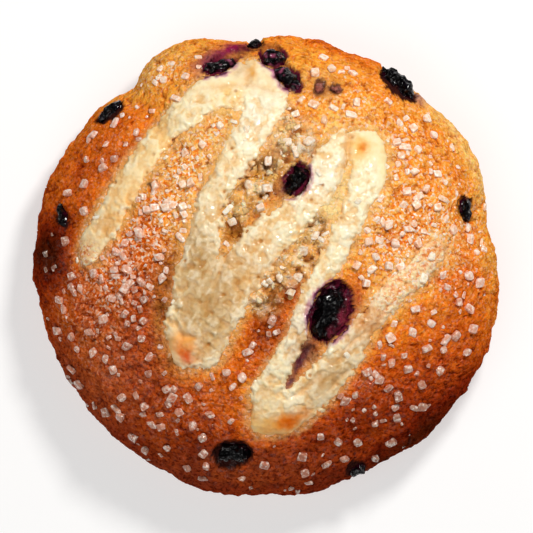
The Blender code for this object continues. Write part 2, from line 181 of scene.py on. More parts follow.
# stretches of the ribbon with a smooth baked skin: x, y, half length, half width, turn, strength
SKINS = (
    (-9, 44, 12, 3.6, 12, 1), (-30, 20.5, 14, 2.4, 52, 0.55), (23, 27, 4.5, 4, 0, 1),
    (26.5, 22, 2, 7, 5, 0.8), (-19.5, -18, 3.4, 5, 0, 0.9), (3, -36, 7.5, 2.8, 8, 1),
    (33, -2.5, 9, 3, 48, 0.3), (21, 14, 3.2, 12, -14, 0.2), (-13, -6, 8, 11, -10, 0.32),
    (-1, 43, 5, 4, 0, 0.7), (14, -27, 7, 4, 48, 0.45), (1, -31, 5, 5, 0, 0.4), (-39.5, 4, 4, 4, 0, 0.7),
)

# valleys pressed into the ribbon: x, y, half width and depth along each
CREASES = (
    ((18.6, 30.5, 1, 0.7), (18.6, 26, 0.9, 1.3), (18.1, 20.5, 0.8, 1.2), (16.4, 15.5, 0.8, 0.9)),
    ((27.2, 31, 0.6, 0.6), (28.6, 26.5, 0.6, 0.9), (28.2, 21.5, 0.6, 0.5)),
    ((-4.9, 46.6, 0.8, 0.5), (-3.9, 44.2, 1.1, 1.4), (-4.6, 41.6, 0.9, 0.5)),
    ((-15, 40.6, 0.6, 0.3), (-9, 41.2, 0.7, 0.7), (-3, 41.2, 0.7, 0.6), (3.5, 38.6, 0.6, 0.4)),
    ((-20.6, -12.5, 0.6, 0.5), (-19.2, -15.5, 0.8, 1), (-16.6, -15.8, 0.6, 0.6)),
    ((-13.4, -8.5, 0.7, 0.4), (-11, -3, 0.7, 0.8), (-9.5, 2, 0.7, 0.9), (-8.4, 5.6, 0.7, 1)),
    ((20, -23, 0.5, 0.4), (17.5, -24.5, 0.6, 0.7), (14, -28.2, 0.5, 0.5)),
    ((23.5, -14.6, 0.5, 0.4), (19.5, -17, 0.6, 0.8), (17, -21, 0.5, 0.5)),
    ((12, -24.5, 0.6, 0.5), (9, -27.6, 0.7, 0.8), (5, -30, 0.6, 0.5)),
)

# pits torn into the ribbon: x, y, reach, depth
CREAM_PITS = (
    (-22.4, -6.4, 0.9, 0.9), (-20.8, -9.8, 0.7, 0.7), (-10.2, 8.2, 1, 1), (-9.2, 16.2, 0.7, 0.6),
    (19.2, 29.6, 0.4, 0.6), (2.2, 31.6, 0.6, 0.7), (-6.4, -4.5, 0.5, 0.5),
)

# where the loose sugar lies thick: x, y, half length, half width, turn, strength
SUGAR_DRIFTS = (
    (34, 8, 16, 14, 0, 1), (28, 30, 12, 9, 0, 0.5), (16, 39, 10, 4, 0, 0.5), (5.5, 30, 5, 5, 0, 1.2),
    (-19, 21, 6, 12, -28, 1.1), (-27, 4, 7, 10, -20, 1.1), (-38, -8, 10, 14, 0, 0.9),
    (-36, 26, 8, 8, 0, 0.25), (1, -17, 5, 5, 0, 0.5), (22, -30, 9, 6, 0, 0.4), (-20, -34, 14, 8, 0, 0.4),
    (-24, 44, 8, 4, 20, 0.6), (-11, 33, 3, 4, 0, 0.8),
)
# the crystals' shapes, for an edge of 1, and how clouded they are; their paler edges are painted light
TEMPLATES = 16
CORNER_STRAY = 0.19
ROUNDING = (0.18, 0.34)
FLAT_SIDE = 0.12
CLOUDED_CORE = (0.34, 0.58)
CLOUDED_LIT_EDGE = (0.5, 0.8)
# the loose crystals: sizes, spans of their three edges, how far from the middle, how they lie
LOOSE_CRYSTALS = 310
LOOSE_SIZES = (0.7, 1.0, 1.2, 1.5, 1.9)
LOOSE_SPANS = ((0.8, 1.5), (0.6, 1.0), (0.4, 0.65))
LOOSE_REACH = 51.5 * MM
LOOSE_SPACING = 1.3 * MM
LOOSE_EVERYWHERE = 0.22
LOOSE_ON_RIBBON = 0.07
LOOSE_OFF_RIBBON = 0.2 * MM
LOOSE_OFF_BERRY = 0.8
HOLLOW_FLOOR = 0.8
LOOSE_SUNK = 0.46
LOOSE_TURNS = (0.4, 0.4, 3.1)

CRUMBS = 120
CRUMB_EDGE = (0.5 * MM, 1.8 * MM)
CRUMB_SPANS = ((0.7, 1.2), (0.6, 1.0), (0.4, 0.8))
CRUMB_SHADES = (0.75, 1.1)
CRUMB_STRAY = (0.55, 0.75)
CRUMB_INTO_RIBBON = 0.5 * MM
CRUMB_OFF_BERRY = 0.1
CRUMB_BUMPS = 0.6
CRUMB_SUNK = 0.08
CRUMB_SEED = 11

# ---- colours, in display values up to 255 where nothing else is said

# patches baked more (or less) than the rest: x, y, half length, half width, turn, how much
BAKED = (
    (-30, -32, 26, 22, 0, 0.15), (-42, -8, 12, 18, 0, 0.08), (-40, 26, 10, 16, -30, 0.09),
    (-25, -10, 8, 14, 0, 0.2), (-2, -44, 34, 12, 0, 0.15), (28, -32, 26, 14, 35, 0.2),
    (38, -34, 14, 5, 45, 0.14), (-48.5, 3, 4.5, 8, 0, 0.42), (2, -16, 8, 9, -30, 0.24),
    (14, -32, 14, 6, 40, 0.1), (18, 50.5, 13, 2.8, -22, 0.3), (11, 44.5, 8, 3, -12, -0.12),
    (-18, 46, 8, 3, 25, -0.06), (-22, 47, 9, 3, 25, -0.03), (-2, 52, 10, 2, 0, 0.06),
    (-31, 27, 1.4, 9, -38, 0.16), (36, 20, 22, 22, 0, -0.1), (12, 36, 20, 12, 0, -0.12),
    (-24, 42, 10, 6, 25, -0.14), (-16, 24, 6, 14, -28, -0.14), (-21, 8, 3, 12, -10, -0.1),
    (45, 27, 1.5, 18, 28, -0.16), (34, 40, 8, 1.5, -45, -0.12),
)

# linear colours of the crust by how far it is baked
CRUST_TONES = (
    (0, (0.97, 0.74, 0.44)),
    (0.2, (0.97, 0.52, 0.135)),
    (0.4, (0.95, 0.345, 0.034)),
    (0.55, (0.82, 0.172, 0.008)),
    (0.7, (0.54, 0.073, 0.005)),
    (0.85, (0.25, 0.02, 0.003)),
    (1, (0.09, 0.011, 0.002)),
)
# the crumb's colours by the height of its relief: partly its own, partly painted shade in the pores and light
# on the lumps
CRUMB_TONES = (
    (-1.4, (92, 42, 10)),
    (-0.7, (168, 92, 30)),
    (-0.15, (238, 176, 96)),
    (0.35, (252, 212, 150)),
    (0.9, (255, 244, 220)),
)
CRUMB_COLOURS = (
    (240, 206, 150), (226, 184, 118), (240, 186, 104), (214, 164, 100), (248, 226, 184),
)

# juice of the berries on the crust and crumb: x, y, half length, half width, turn, strength, colour
JUICE = (
    (7.7, -21.4, 5.5, 1.2, 62, 0.9, (96, 44, 56)),
    (5.2, -26.6, 1.6, 0.7, 60, 0.8, (104, 50, 80)),
    (19.4, -9, 2.4, 5, -18, 0.75, (176, 74, 46)),
    (-8.2, 49.4, 5, 1.7, 22, 1, (152, 30, 74)),
    (-13, 47, 3.6, 1.6, 22, 0.9, (122, 44, 78)),
    (-5, 49.6, 2.2, 1.4, 20, 0.9, (84, 14, 38)),
    (-15, 44.6, 2, 1.2, 20, 0.5, (168, 96, 96)),
    (-0.6, 50.2, 2.4, 0.8, 5, 0.7, (96, 24, 40)),
    (34.6, 38.6, 1.2, 2.4, 40, 0.6, (132, 100, 122)),
    (13.8, 40, 3.4, 1.6, -5, 0.5, (122, 60, 52)),
    (-25.1, 18.4, 1.2, 0.8, 0, 0.6, (130, 104, 120)),
    (-26, 18.6, 0.6, 0.6, 0, 1, (22, 14, 24)),
)

# tinted patches of the crust and crumb, with painted shade in its hollows and crevices and a painted sheen:
# the same columns
CRUST_TINTS_AND_SHADES = (
    # the next two: painted shade in the torn hollows at -7.2, 8 and -3, 11
    (-4.5, 8.6, 3.4, 1.6, 40, 0.8, (150, 98, 44)),
    (-7.6, 7.2, 1.6, 1.2, 40, 0.8, (96, 52, 18)),
    (-5.6, 15, 3, 5, -28, 0.7, (238, 178, 92)),
    (-1, 20.4, 2.8, 1.5, 10, 0.9, (244, 172, 62)),
    # the next three: painted shade in the torn hollows
    (0.5, 23.2, 2.5, 1.9, 0, 1, (86, 50, 22)),
    (-3.4, 23.4, 2.1, 1.2, 20, 1, (92, 52, 16)),
    (3.4, 18, 2, 2.8, -20, 0.8, (134, 98, 74)),
    (3, 29.5, 3.6, 4, 0, 0.5, (240, 204, 150)),
    (7.5, 33.5, 3, 3.6, 0, 0.6, (232, 142, 50)),
    # painted shade in the torn hollow at 10.5, 26
    (9.5, 26.6, 2.2, 2, 0, 0.7, (158, 104, 48)),
    (9.6, 9.6, 2.6, 4.6, -15, 0.7, (196, 152, 88)),
    (3.6, -0.5, 4, 5, -15, 0.6, (226, 168, 92)),
    # painted shade in the torn hollow at -0.5, -9.6
    (1, -7.6, 3.6, 1.6, 30, 0.7, (152, 106, 54)),
    (5.6, -6.4, 2.3, 4.2, -38, 1, (180, 68, 4)),
    (0.4, -14, 4, 5, -30, 0.9, (160, 68, 12)),
    # painted shade in the torn hollow at 9.5, -20.5
    (9.2, -19.2, 2.8, 5, -28, 1, (144, 100, 72)),
    (17, 17.6, 1.6, 8, -16.5, 1, (246, 206, 134)),
    (14.6, 13.6, 3.4, 3, -30, 1, (248, 210, 140)),
    # painted shade on the crust beside the ribbon's lower stroke
    (-22.8, -2, 2.6, 8, -10, 1, (152, 82, 30)),
    # the next two: a painted sheen, greyish reflected light on the lower left
    (-36, -24, 12, 14, 0, 0.35, (168, 98, 64)),
    (-8, -46, 26, 6, 0, 0.3, (146, 84, 56)),
    (-24.3, -14, 1.5, 8, 6, 0.75, (190, 124, 60)),
    (-19.5, -24.8, 5, 1.5, -25, 0.6, (186, 118, 52)),
    # the next two: painted shadow in the narrow crevices between the crust and the ribbon
    (-23.9, -9.4, 1, 3, -4, 0.9, (112, 66, 22)),
    (-21.4, -21.5, 1.6, 0.9, -45, 0.9, (100, 58, 22)),
    (-8.4, 37.6, 3.6, 2.4, 20, 1, (250, 208, 126)),
    (-4.6, 38.2, 1.6, 2.6, 0, 0.8, (250, 226, 176)),
    (-38.6, 3.4, 4.6, 3.4, 50, 0.7, (232, 158, 90)),
    (37.5, 2, 7, 4, 48, 0.6, (246, 180, 112)),
    (29.6, 29, 1, 5, 15, 0.7, (214, 120, 30)),
    (12.5, 42.5, 5, 2, -10, 0.5, (170, 110, 60)),
    (3.4, 46, 1.6, 3, 0, 0.4, (200, 150, 96)),
)

# tinted stretches of the ribbon, some with painted shade: the same columns
CREAM_TINTS_AND_SHADES = (
    (-33.5, 14, 14, 5, 55, 0.8, (252, 202, 126)),
    (-24, 30, 9, 5, 50, 0.6, (252, 212, 136)),
    (-8, 39, 3.4, 2.2, 15, 0.8, (246, 194, 92)),
    (-13, 33, 2, 5, -35, 0.6, (248, 208, 128)),
    (-2.9, 45, 0.9, 2, 8, 0.95, (248, 184, 84)),
    (-5.6, 44.8, 2, 1.6, 30, 0.75, (206, 166, 116)),
    (1.8, 45.2, 1.2, 2.4, 25, 0.75, (190, 110, 150)),
    (4.4, 41.4, 1.2, 2, 30, 0.6, (196, 140, 150)),
    (-11, 18, 5, 8, -28, 0.45, (236, 200, 142)),
    # the next three: darker tan on the ribbon's lower stretch, partly its own colour, partly painted shade
    (-15.5, 2, 5, 9, 0, 0.9, (190, 148, 84)),
    (-14, -12, 8, 8, 0, 0.8, (196, 156, 92)),
    (-8, -4, 5, 9, -30, 0.85, (198, 152, 86)),
    (-3, 0.5, 3.5, 5, -40, 0.5, (206, 162, 104)),
    (-3.2, -1, 1.6, 7, -28, 0.6, (236, 184, 110)),
    (1, 6.5, 2.2, 5, -38, 0.35, (240, 196, 124)),
    (5.6, 13.6, 4, 1.4, 35, 0.5, (240, 204, 146)),
    (26.6, 24, 1.8, 7, 5, 0.5, (250, 220, 140)),
    (20.6, 24.5, 1.6, 4.5, -5, 0.6, (250, 204, 116)),
    (22, 27, 2.7, 2.5, 0, 0.85, (250, 190, 72)),
    (22, 27, 1.2, 1.1, 0, 0.9, (222, 116, 6)),
    (17, 8, 2.4, 7, -20, 0.25, (246, 216, 150)),
    (-2.6, 33.5, 3.4, 6, -20, 0.75, (255, 250, 232)),
    (12, 19.5, 3, 5, -40, 0.75, (255, 250, 234)),
    (24, 19.5, 1.8, 6, -8, 0.6, (255, 252, 226)),
    (19, 9, 2, 6, -20, 0.5, (255, 250, 228)),
    (-5, 0, 4, 6, -35, 0.5, (232, 190, 130)),
    (8.2, -12.5, 2.6, 4.6, -24, 0.55, (222, 204, 190)),
    (10.6, -8, 1, 3.4, -24, 0.75, (168, 84, 140)),
    (6.6, -18.6, 1.6, 3, -28, 0.5, (206, 176, 150)),
    (1.5, -30, 5, 6.5, -10, 0.4, (250, 210, 138)),
    (15, -24.5, 8, 2.8, 48, 0.8, (200, 152, 84)),
    (23.5, -12.5, 6, 3.4, 48, 0.85, (214, 142, 66)),
    (31.5, -4, 6, 3.4, 48, 0.9, (246, 168, 84)),
    (38, 3, 4, 3, 48, 0.95, (238, 150, 66)),
    (-41.5, 2.8, 3, 2.6, 48, 0.9, (232, 158, 88)),
    (-20.6, -15.2, 1.6, 3.6, 10, 0.7, (250, 204, 128)),
    (-18.6, -18.6, 2.9, 3.6, 20, 1, (250, 168, 78)),
    (-18.3, -19.9, 1.2, 2.6, 32, 1, (220, 84, 0)),
    (-21.8, -17.5, 0.9, 4, 12, 0.7, (214, 160, 96)),
    (-17.3, -16.8, 2, 1, 20, 0.6, (248, 180, 96)),
    (-3.6, -33.8, 2, 3, 30, 0.75, (244, 186, 104)),
    (1.5, -36, 5, 2.6, 5, 0.75, (252, 200, 108)),
    (4.4, -35.5, 5.6, 2.6, 14, 0.95, (250, 184, 84)),
    (4.9, -35.3, 3.4, 2, 18, 1, (236, 118, 4)),
    (5.2, -35.2, 1.8, 1.2, 18, 0.75, (212, 88, 0)),
    (8.4, -33.4, 2, 1.2, 30, 0.5, (222, 124, 36)),
    (0.4, -37.4, 1.2, 0.8, 0, 0.5, (240, 160, 80)),
)

# ---- helpers


def smooth_step(share):
    share = np.clip(share, 0, 1)
    return share * share * (3 - 2 * share)


def lumps(x, y, z, size, seed):
    """The solids' own smooth noise, whose lumps are about size across."""
    shift = Vector((7.31, 3.17, 5.73)) * seed
    points = np.stack([x, y, z], axis=-1) / size
    return np.array([noise.fractal(Vector(point) + shift, 1.0, 2.0, 3) for point in points])


def gradient_noise(points, seed):
    """Gradient noise from about -1 to 1 at many points at once."""
    draw = np.random.default_rng(seed)
    table = np.tile(draw.permutation(NOISE_SLOPES), 3)
    slopes = draw.normal(size=(NOISE_SLOPES, 3))
    slopes /= np.linalg.norm(slopes, axis=1)[:, None]
    cell = np.floor(points).astype(int)
    part = points - cell
    fade = part**3 * (part * (part * 6 - 15) + 10)
    total = np.zeros(len(points))
    for corner in itertools.product((0, 1), repeat=3):
        at = (cell + corner) & (NOISE_SLOPES - 1)
        hashed = table[table[table[at[:, 0]] + at[:, 1]] + at[:, 2]]
        weight = np.prod(np.where(np.array(corner, bool), fade, 1 - fade), axis=1)
        total += weight * ((part - corner) * slopes[hashed]).sum(axis=1)
    return total * 1.7


def rough(points, size, seed, octaves=3, shape=np.asarray):
    """Layers of gradient noise, each half as strong and wide, whose broadest lumps are about size across."""
    places = points / (size * MM)
    layers = [0.5**k * shape(gradient_noise(places * 2**k, seed + k)) for k in range(octaves)]
    return sum(layers) / (2 - 0.5 ** (octaves - 1))


def ridges(points, size, seed, octaves):
    """The same with sharp crests, from 0 to 1."""
    return rough(points, size, seed, octaves, lambda layer: (1 - np.abs(layer)) ** 2)


def cell_distance(points, size, seed):
    """Distance to the nearest of scattered dots, as a share of their spacing, and that dot's own number."""
    draw = np.random.default_rng(seed)
    offsets = draw.random((NOISE_DOTS, 3))
    numbers = draw.random(NOISE_DOTS)
    scaled = points / (size * MM)
    cell = np.floor(scaled).astype(int)
    best = np.full(len(points), FAR)
    own = np.zeros(len(points))
    for step in itertools.product((-1, 0, 1), repeat=3):
        near = cell + step
        hashed = np.bitwise_xor.reduce(near * SPREAD, axis=1) & (NOISE_DOTS - 1)
        away = np.linalg.norm(near + offsets[hashed] - scaled, axis=1)
        closer = away < best
        best = np.where(closer, away, best)
        own = np.where(closer, numbers[hashed], own)
    return best, own


def rim_radius(direction):
    radius = np.full(np.shape(direction), RADIUS)
    for degrees, half_width, out in RIM_LOBES:
        turn = np.angle(np.exp(1j * (direction - math.radians(degrees))))
        radius += out * MM * np.exp(-((turn / math.radians(half_width)) ** 2))
    return radius


def dome_height(x, y):
    share = np.clip(np.hypot(x, y) / rim_radius(np.arctan2(y, x)), 0, 1)
    return RIM_HEIGHT + (HEIGHT - RIM_HEIGHT) * (1 - share**DOME_FULLNESS) ** SHOULDER


def dome_up(x, y, step=1 * MM):
    slope_x = float(dome_height(x - step, y) - dome_height(x + step, y)) / (2 * step)
    slope_y = float(dome_height(x, y - step) - dome_height(x, y + step)) / (2 * step)
    return Vector((slope_x, slope_y, 1)).normalized()


def side_curve():
    """The section from the top's middle round the rim to the base: shares of length and radius, height."""
    turn = np.linspace(0, math.pi / 2, 400)
    base_share = BASE_RADIUS / RADIUS
    dome_out = np.sin(turn) ** (2 / DOME_FULLNESS)
    dome_rise = RIM_HEIGHT + (HEIGHT - RIM_HEIGHT) * np.cos(turn) ** (2 * SHOULDER)
    under_out = base_share + (1 - base_share) * np.cos(turn[1:])
    under_rise = RIM_HEIGHT * (1 - np.sin(turn[1:]))
    out = np.concatenate([dome_out, under_out])
    rise = np.concatenate([dome_rise, under_rise])
    run = np.hypot(np.diff(out * RADIUS), np.diff(rise))
    along = np.concatenate([[0], np.cumsum(run)])
    return along / along[-1], out, rise


def smooth_path(stroke, step):
    knots = [Vector(knot) * MM for knot in stroke]
    knots = [knots[0] * 2 - knots[1], *knots, knots[-1] * 2 - knots[-2]]
    path = [tuple(knots[1])]
    for before, start, end, after in zip(knots, knots[1:], knots[2:], knots[3:]):
        pieces = max(1, round((end.xy - start.xy).length / step))
        for i in range(1, pieces + 1):
            t = i / pieces
            bend = before * 2 - start * 5 + end * 4 - after
            twist = start * 3 - before - end * 3 + after
            path.append(tuple(start + ((end - before) * t + bend * t**2 + twist * t**3) / 2))
    return path


def distance_to(x, y, strokes):
    """Distance in plan to the nearest stroke's edge, negative inside, and from its middle as a share."""
    away, share = [], []
    for stroke in strokes:
        path = np.array(smooth_path(stroke, MEASURE_STEP))
        middle = np.hypot(x[:, None] - path[:, 0], y[:, None] - path[:, 1])
        away.append((middle - path[:, 2]).min(axis=1))
        share.append((middle / path[:, 2]).min(axis=1))
    return np.min(away, axis=0), np.min(share, axis=0)


def torn(x, y):
    inner, outer = CRUMB_FADE
    return smooth_step((outer - distance_to(x, y, CRUMB_STRIPS)[1]) / (outer - inner))


def turned(x, y, degrees):
    """Plan places measured along axes that are turned."""
    c, s = math.cos(math.radians(degrees)), math.sin(math.radians(degrees))
    return x * c + y * s, y * c - x * s


def spot(x, y, at_x, at_y, half_long, half_wide=None, turn=0):
    """1 in the middle of an oval patch of the plan, falling softly to 0 beyond its edge."""
    u, v = turned(x / MM - at_x, y / MM - at_y, turn)
    u, v = u / half_long, v / (half_wide or half_long)
    return np.exp(-(u * u + v * v))


def spots(x, y, table):
    """The strength that each patch of a table has at the places."""
    return [strength * spot(x, y, *oval) for *oval, strength in table]


def berry_distance(x, y, berry):
    """About how far a point of the plan lies outside a berry's outline, in mm."""
    u, v = turned(x / MM - berry.x, y / MM - berry.y, berry.turn)
    reach = np.hypot(u / berry.along, v / berry.across)
    slant = np.hypot(berry.across * u, berry.along * v).clip(1e-6)
    return (reach - 1) * berry.along * berry.across / slant * np.hypot(u, v)


def clearances(x, y):
    """How far one place lies from the ribbon, in metres, and from the nearest berry, in mm."""
    here = np.array([x]), np.array([y])
    to_berry = min(float(berry_distance(*here, berry)[0]) for berry in BERRIES)
    return distance_to(*here, LIMBS)[0][0], to_berry


def valley(x, y, knots):
    """How deep the plan's points lie in a valley along the knots, in mm."""
    path = smooth_path([knot[:3] for knot in knots], CREASE_STEP)
    places = np.linspace(0, 1, len(path))
    depths = np.interp(places, np.linspace(0, 1, len(knots)), [knot[3] for knot in knots])
    deep = np.zeros(len(x))
    for (at_x, at_y, half), depth in zip(path, depths):
        away = np.hypot(x - at_x, y - at_y) / half
        deep = np.maximum(deep, depth * np.exp(-(away**2)))
    return deep


def tone(red, green, blue):
    """A linear colour from everyday display values from 0 to 255."""
    share = np.array((red, green, blue)) / 255
    return np.where(share <= 0.04045, share / 12.92, ((share + 0.055) / 1.055) ** 2.4)


def mix(first, second, share):
    share = np.clip(np.asarray(share), 0, 1)[..., None]
    return first * (1 - share) + np.asarray(second) * share


def ramp(values, stops):
    """Colours along a list of (place, colour)."""
    places = [place for place, _ in stops]
    return np.stack([np.interp(values, places, [colour[i] for _, colour in stops]) for i in range(3)], axis=1)


def strayed(points, size, reach, seed):
    """Plan places led astray by noise, which makes a patch ragged."""
    x = points[:, 0] + reach * MM * rough(points, size, seed)
    return x, points[:, 1] + reach * MM * rough(points, size, seed + 4)


# ---- meshes


def new_object(name, points, *groups):
    """An object from an array of points and arrays of faces, each with its own number of corners."""
    mesh = bpy.data.meshes.new(name)
    corners = np.concatenate([faces.ravel() for faces in groups]).astype(np.int32)
    sides = np.concatenate([np.full(len(faces), faces.shape[1]) for faces in groups])
    starts = (np.cumsum(sides) - sides).astype(np.int32)
    mesh.vertices.add(len(points))
    mesh.vertices.foreach_set("co", points.astype(np.float32).ravel())
    mesh.loops.add(len(corners))
    mesh.loops.foreach_set("vertex_index", corners)
    mesh.polygons.add(len(starts))
    mesh.polygons.foreach_set("loop_start", starts)
    mesh.update(calc_edges=True)
    mesh.validate()
    mesh.polygons.foreach_set("use_smooth", [True] * len(mesh.polygons))
    made = bpy.data.objects.new(name, mesh)
    bpy.context.scene.collection.objects.link(made)
    return made


def face_outward(thing):
    shape = bmesh.new()
    shape.from_mesh(thing.data)
    bmesh.ops.recalc_face_normals(shape, faces=shape.faces)
    shape.to_mesh(thing.data)
    shape.free()


def arrays_of(shape):
    """The points and faces of a bmesh, which is freed."""
    points = np.array([v.co for v in shape.verts])
    faces = np.array([[v.index for v in f.verts] for f in shape.faces])
    shape.free()
    return points, faces


def ball_of(cuts):
    shape = bmesh.new()
    bmesh.ops.create_icosphere(shape, subdivisions=cuts, radius=1)
    return arrays_of(shape)


def paint(thing, name, values):
    """Stores a number or a colour for every point of the mesh."""
    mesh = thing.data
    if values.ndim == 1:
        layer = mesh.attributes.new(name, "FLOAT", "POINT")
        layer.data.foreach_set("value", values.astype(np.float32))
        return
    layer = mesh.color_attributes.new(name, "FLOAT_COLOR", "POINT")
    full = np.ones((len(values), 4), np.float32)
    full[:, :3] = values
    layer.data.foreach_set("color", full.ravel())


def paint_level(thing):
    """Stores 1 where the surface lies level and 0 where it is steep."""
    slope = np.array([v.normal.z for v in thing.data.vertices])
    paint(thing, "level", smooth_step((slope - 0.55) / 0.4))


def square_disc(n):
    """A square grid of n by n patches bent to a disc: distance from the middle and direction."""
    side = np.linspace(-1, 1, n + 1)
    a, b = np.meshgrid(side, side, indexing="ij")
    wide = np.abs(a) >= np.abs(b)
    radius = np.where(wide, a, b)
    with np.errstate(divide="ignore", invalid="ignore"):
        turn = np.where(wide, math.pi / 4 * b / a, math.pi / 2 - math.pi / 4 * a / b)
    turn = np.where((a == 0) & (b == 0), 0, turn)
    return np.abs(radius), np.where(radius < 0, turn + math.pi, turn)


def grid_corners(grid):
    """The four corners of every square of a grid, in order round it."""
    return [grid[:-1, :-1], grid[1:, :-1], grid[1:, 1:], grid[:-1, 1:]]


def grid_normals(points):
    """Directions straight out of a square grid of points."""
    out = np.cross(np.gradient(points, axis=0), np.gradient(points, axis=1))
    return out / np.linalg.norm(out, axis=2)[..., None].clip(1e-12)


# ---- the cake


def coarse_relief(x, y, z, to_ribbon):
    """The solids' own relief, without the groove."""
    out = SWELL * lumps(x, y, z, SWELL_SIZE, 1) + RIPPLE * lumps(x, y, z, RIPPLE_SIZE, 2)
    out *= smooth_step(LEVEL_LEFT + to_ribbon / LEVEL_REACH)
    for hollow_x, hollow_y, reach, depth in HOLLOWS:
        away = np.hypot(x - hollow_x * MM, y - hollow_y * MM)
        out -= depth * MM * smooth_step(1 - away / (reach * MM))
    return out


def crust_grid():
    """The crust before any relief: x, y and height of every point of the grid, and which are its edge."""
    share, direction = square_disc(CRUST_GRID)
    edge = share >= 1
    share = share * (1 - TOP_FINER * (1 - share))
    along, out, rise = side_curve()
    radius = rim_radius(direction) * np.interp(share, along, out)
    grids = radius * np.cos(direction), radius * np.sin(direction), np.interp(share, along, rise), edge
    return [grid.ravel() for grid in grids]


def swollen_crust(x, y, z, to_ribbon):
    """The crust's points with the solids' own relief."""
    steepness = np.maximum(z - RIM_HEIGHT, 0.05 * HEIGHT) / HEIGHT
    outward = np.stack([x / RADIUS, y / RADIUS, steepness], axis=1)
    outward /= np.linalg.norm(outward, axis=1)[:, None]
    out = coarse_relief(x, y, z, to_ribbon) * smooth_step(z / RIM_HEIGHT)
    return np.stack([x, y, z], axis=1) + outward * out[:, None]


def crack_share(points):
    """Short cracks and pits in the crust: 1 in their middle, 0 beside them."""
    line = 1 - np.abs(rough(points, 3, 23, 1))
    broken = smooth_step((rough(points, 4, 27, 1) - 0.05) / 0.25)
    crack = smooth_step((line - 0.86) / 0.11) * broken
    pit, own = cell_distance(points, 1.5, 21)
    return np.maximum(crack, smooth_step(1 - pit / (0.24 + 0.22 * own)) * (own > 0.55))


def crumb_relief(points):
    """Torn crumb, as shares of its relief: soft lumps with pores."""
    hole, own = cell_distance(points, 2, 47)
    pores = smooth_step(1 - hole / (0.22 + 0.3 * own)) * (own > 0.3)
    broad = 0.9 * rough(points, 4.2, 41, 2) + 0.5 * rough(points, 1.9, 45, 2)
    ledges = smooth_step((rough(points, 3.4, 143, 2) + 0.08) / 0.2) - 0.5
    return broad + 0.9 * ledges + 0.4 * rough(points, 0.95, 49, 1) - 0.9 * pores


def fine_relief(points, z, crumb, craggy, cracks):
    """Relief that the solids don't have, square to the surface."""
    fine = CRUST_GRAIN * (rough(points, 2.6, 11) + ridges(points, 1.3, 15, 2) - 0.6)
    rim = np.exp(-(((z - 1.2 * RIM_HEIGHT) / (0.6 * RIM_HEIGHT)) ** 2))
    broad, narrow = RIM_ROUGHNESS
    fine += rim * (broad * rough(points, 5, 17, 2) + narrow * rough(points, 1.8, 19, 2))
    fade = smooth_step(z / RIM_HEIGHT)
    return (fine - CRACK_DEPTH * cracks) * (0.25 + 0.75 * fade) + crumb * CRUMB_RELIEF * craggy


def sunk_beds(fine, x, y, z, to_ribbon):
    """The same relief with the beds of the ribbon and the berries sunk into it."""
    inside = smooth_step((-to_ribbon - 0.9 * MM) / (0.9 * MM))
    fine = fine * (1 - inside) - RIBBON_BED * inside
    for berry in BERRIES:
        bed = smooth_step((0.3 - berry_distance(x, y, berry)) / 0.5) * (z > RIM_HEIGHT * 0.6)
        fine = fine * (1 - bed) - max(0.5, berry.sink - 0.25 * berry.through + 0.3) * MM * bed
    return fine


def base_faces(points, loop):
    """The flat base inside the crust's edge, as rings closed in the middle: points, squares, triangles."""
    count, around = len(points), len(loop)
    rings = [loop] + [count + ring * around + np.arange(around) for ring in range(BASE_RINGS - 1)]
    inner = [points[loop] * [1, 1, 0] * (1 - ring / BASE_RINGS) for ring in range(1, BASE_RINGS)]
    squares = [
        np.stack([outside, inside, np.roll(inside, -1), np.roll(outside, -1)], axis=1)
        for outside, inside in zip(rings, rings[1:])
    ]
    middle = np.full(around, count + (BASE_RINGS - 1) * around)
    triangles = np.stack([rings[-1], middle, np.roll(rings[-1], -1)], axis=1)
    return np.concatenate([*inner, np.zeros((1, 3))]), np.concatenate(squares), triangles


def make_cake():
    x, y, z, edge = crust_grid()
    to_ribbon = distance_to(x, y, LIMBS)[0]
    above = smooth_step((z / RIM_HEIGHT - 0.7) / 0.3)
    crumb = torn(x, y) * above
    points = swollen_crust(x, y, z, to_ribbon)
    to_ribbon = to_ribbon + FAR * MM * (1 - above)
    index = np.arange(len(points)).reshape(CRUST_GRID + 1, -1)
    up = grid_normals(points[index]).reshape(-1, 3)
    cracks, craggy = crack_share(points), crumb_relief(points)
    fine = sunk_beds(fine_relief(points, z, crumb, craggy, cracks), x, y, z, to_ribbon)
    fine[edge] = 0
    points = points + up * fine[:, None]
    points[edge, 2] = 0

    loop = np.concatenate([index[:-1, 0], index[-1, :-1], index[:0:-1, -1], index[0, :0:-1]])
    base, squares, triangles = base_faces(points, loop)
    top = np.stack(grid_corners(index), axis=-1).reshape(-1, 4)
    points = np.concatenate([points, base])
    made = new_object("cake_crust", points, np.concatenate([top, squares]), triangles)
    face_outward(made)

    pad = np.zeros(len(base))
    crumb, craggy, cracks, above = (np.append(part, pad) for part in (crumb, craggy, cracks, above))
    to_ribbon = np.append(to_ribbon, pad + FAR * MM)
    film = smooth_step(1.0 - to_ribbon / (1.5 * MM) + 0.7 * rough(points, 2, 53))
    colour, wet = crust_colours(points, crumb, film, to_ribbon, craggy, cracks)
    paint(made, "tone", colour)
    paint(made, "crumb", np.maximum(crumb, 0.85 * film))
    # where sugar lies thick, which sets how strong the crust's painted highlights are
    paint(made, "sugar_and_glints", sugar_share(points[:, 0], points[:, 1]) ** 1.4 * above)
    paint(made, "wet", wet)
    paint_level(made)
    return made


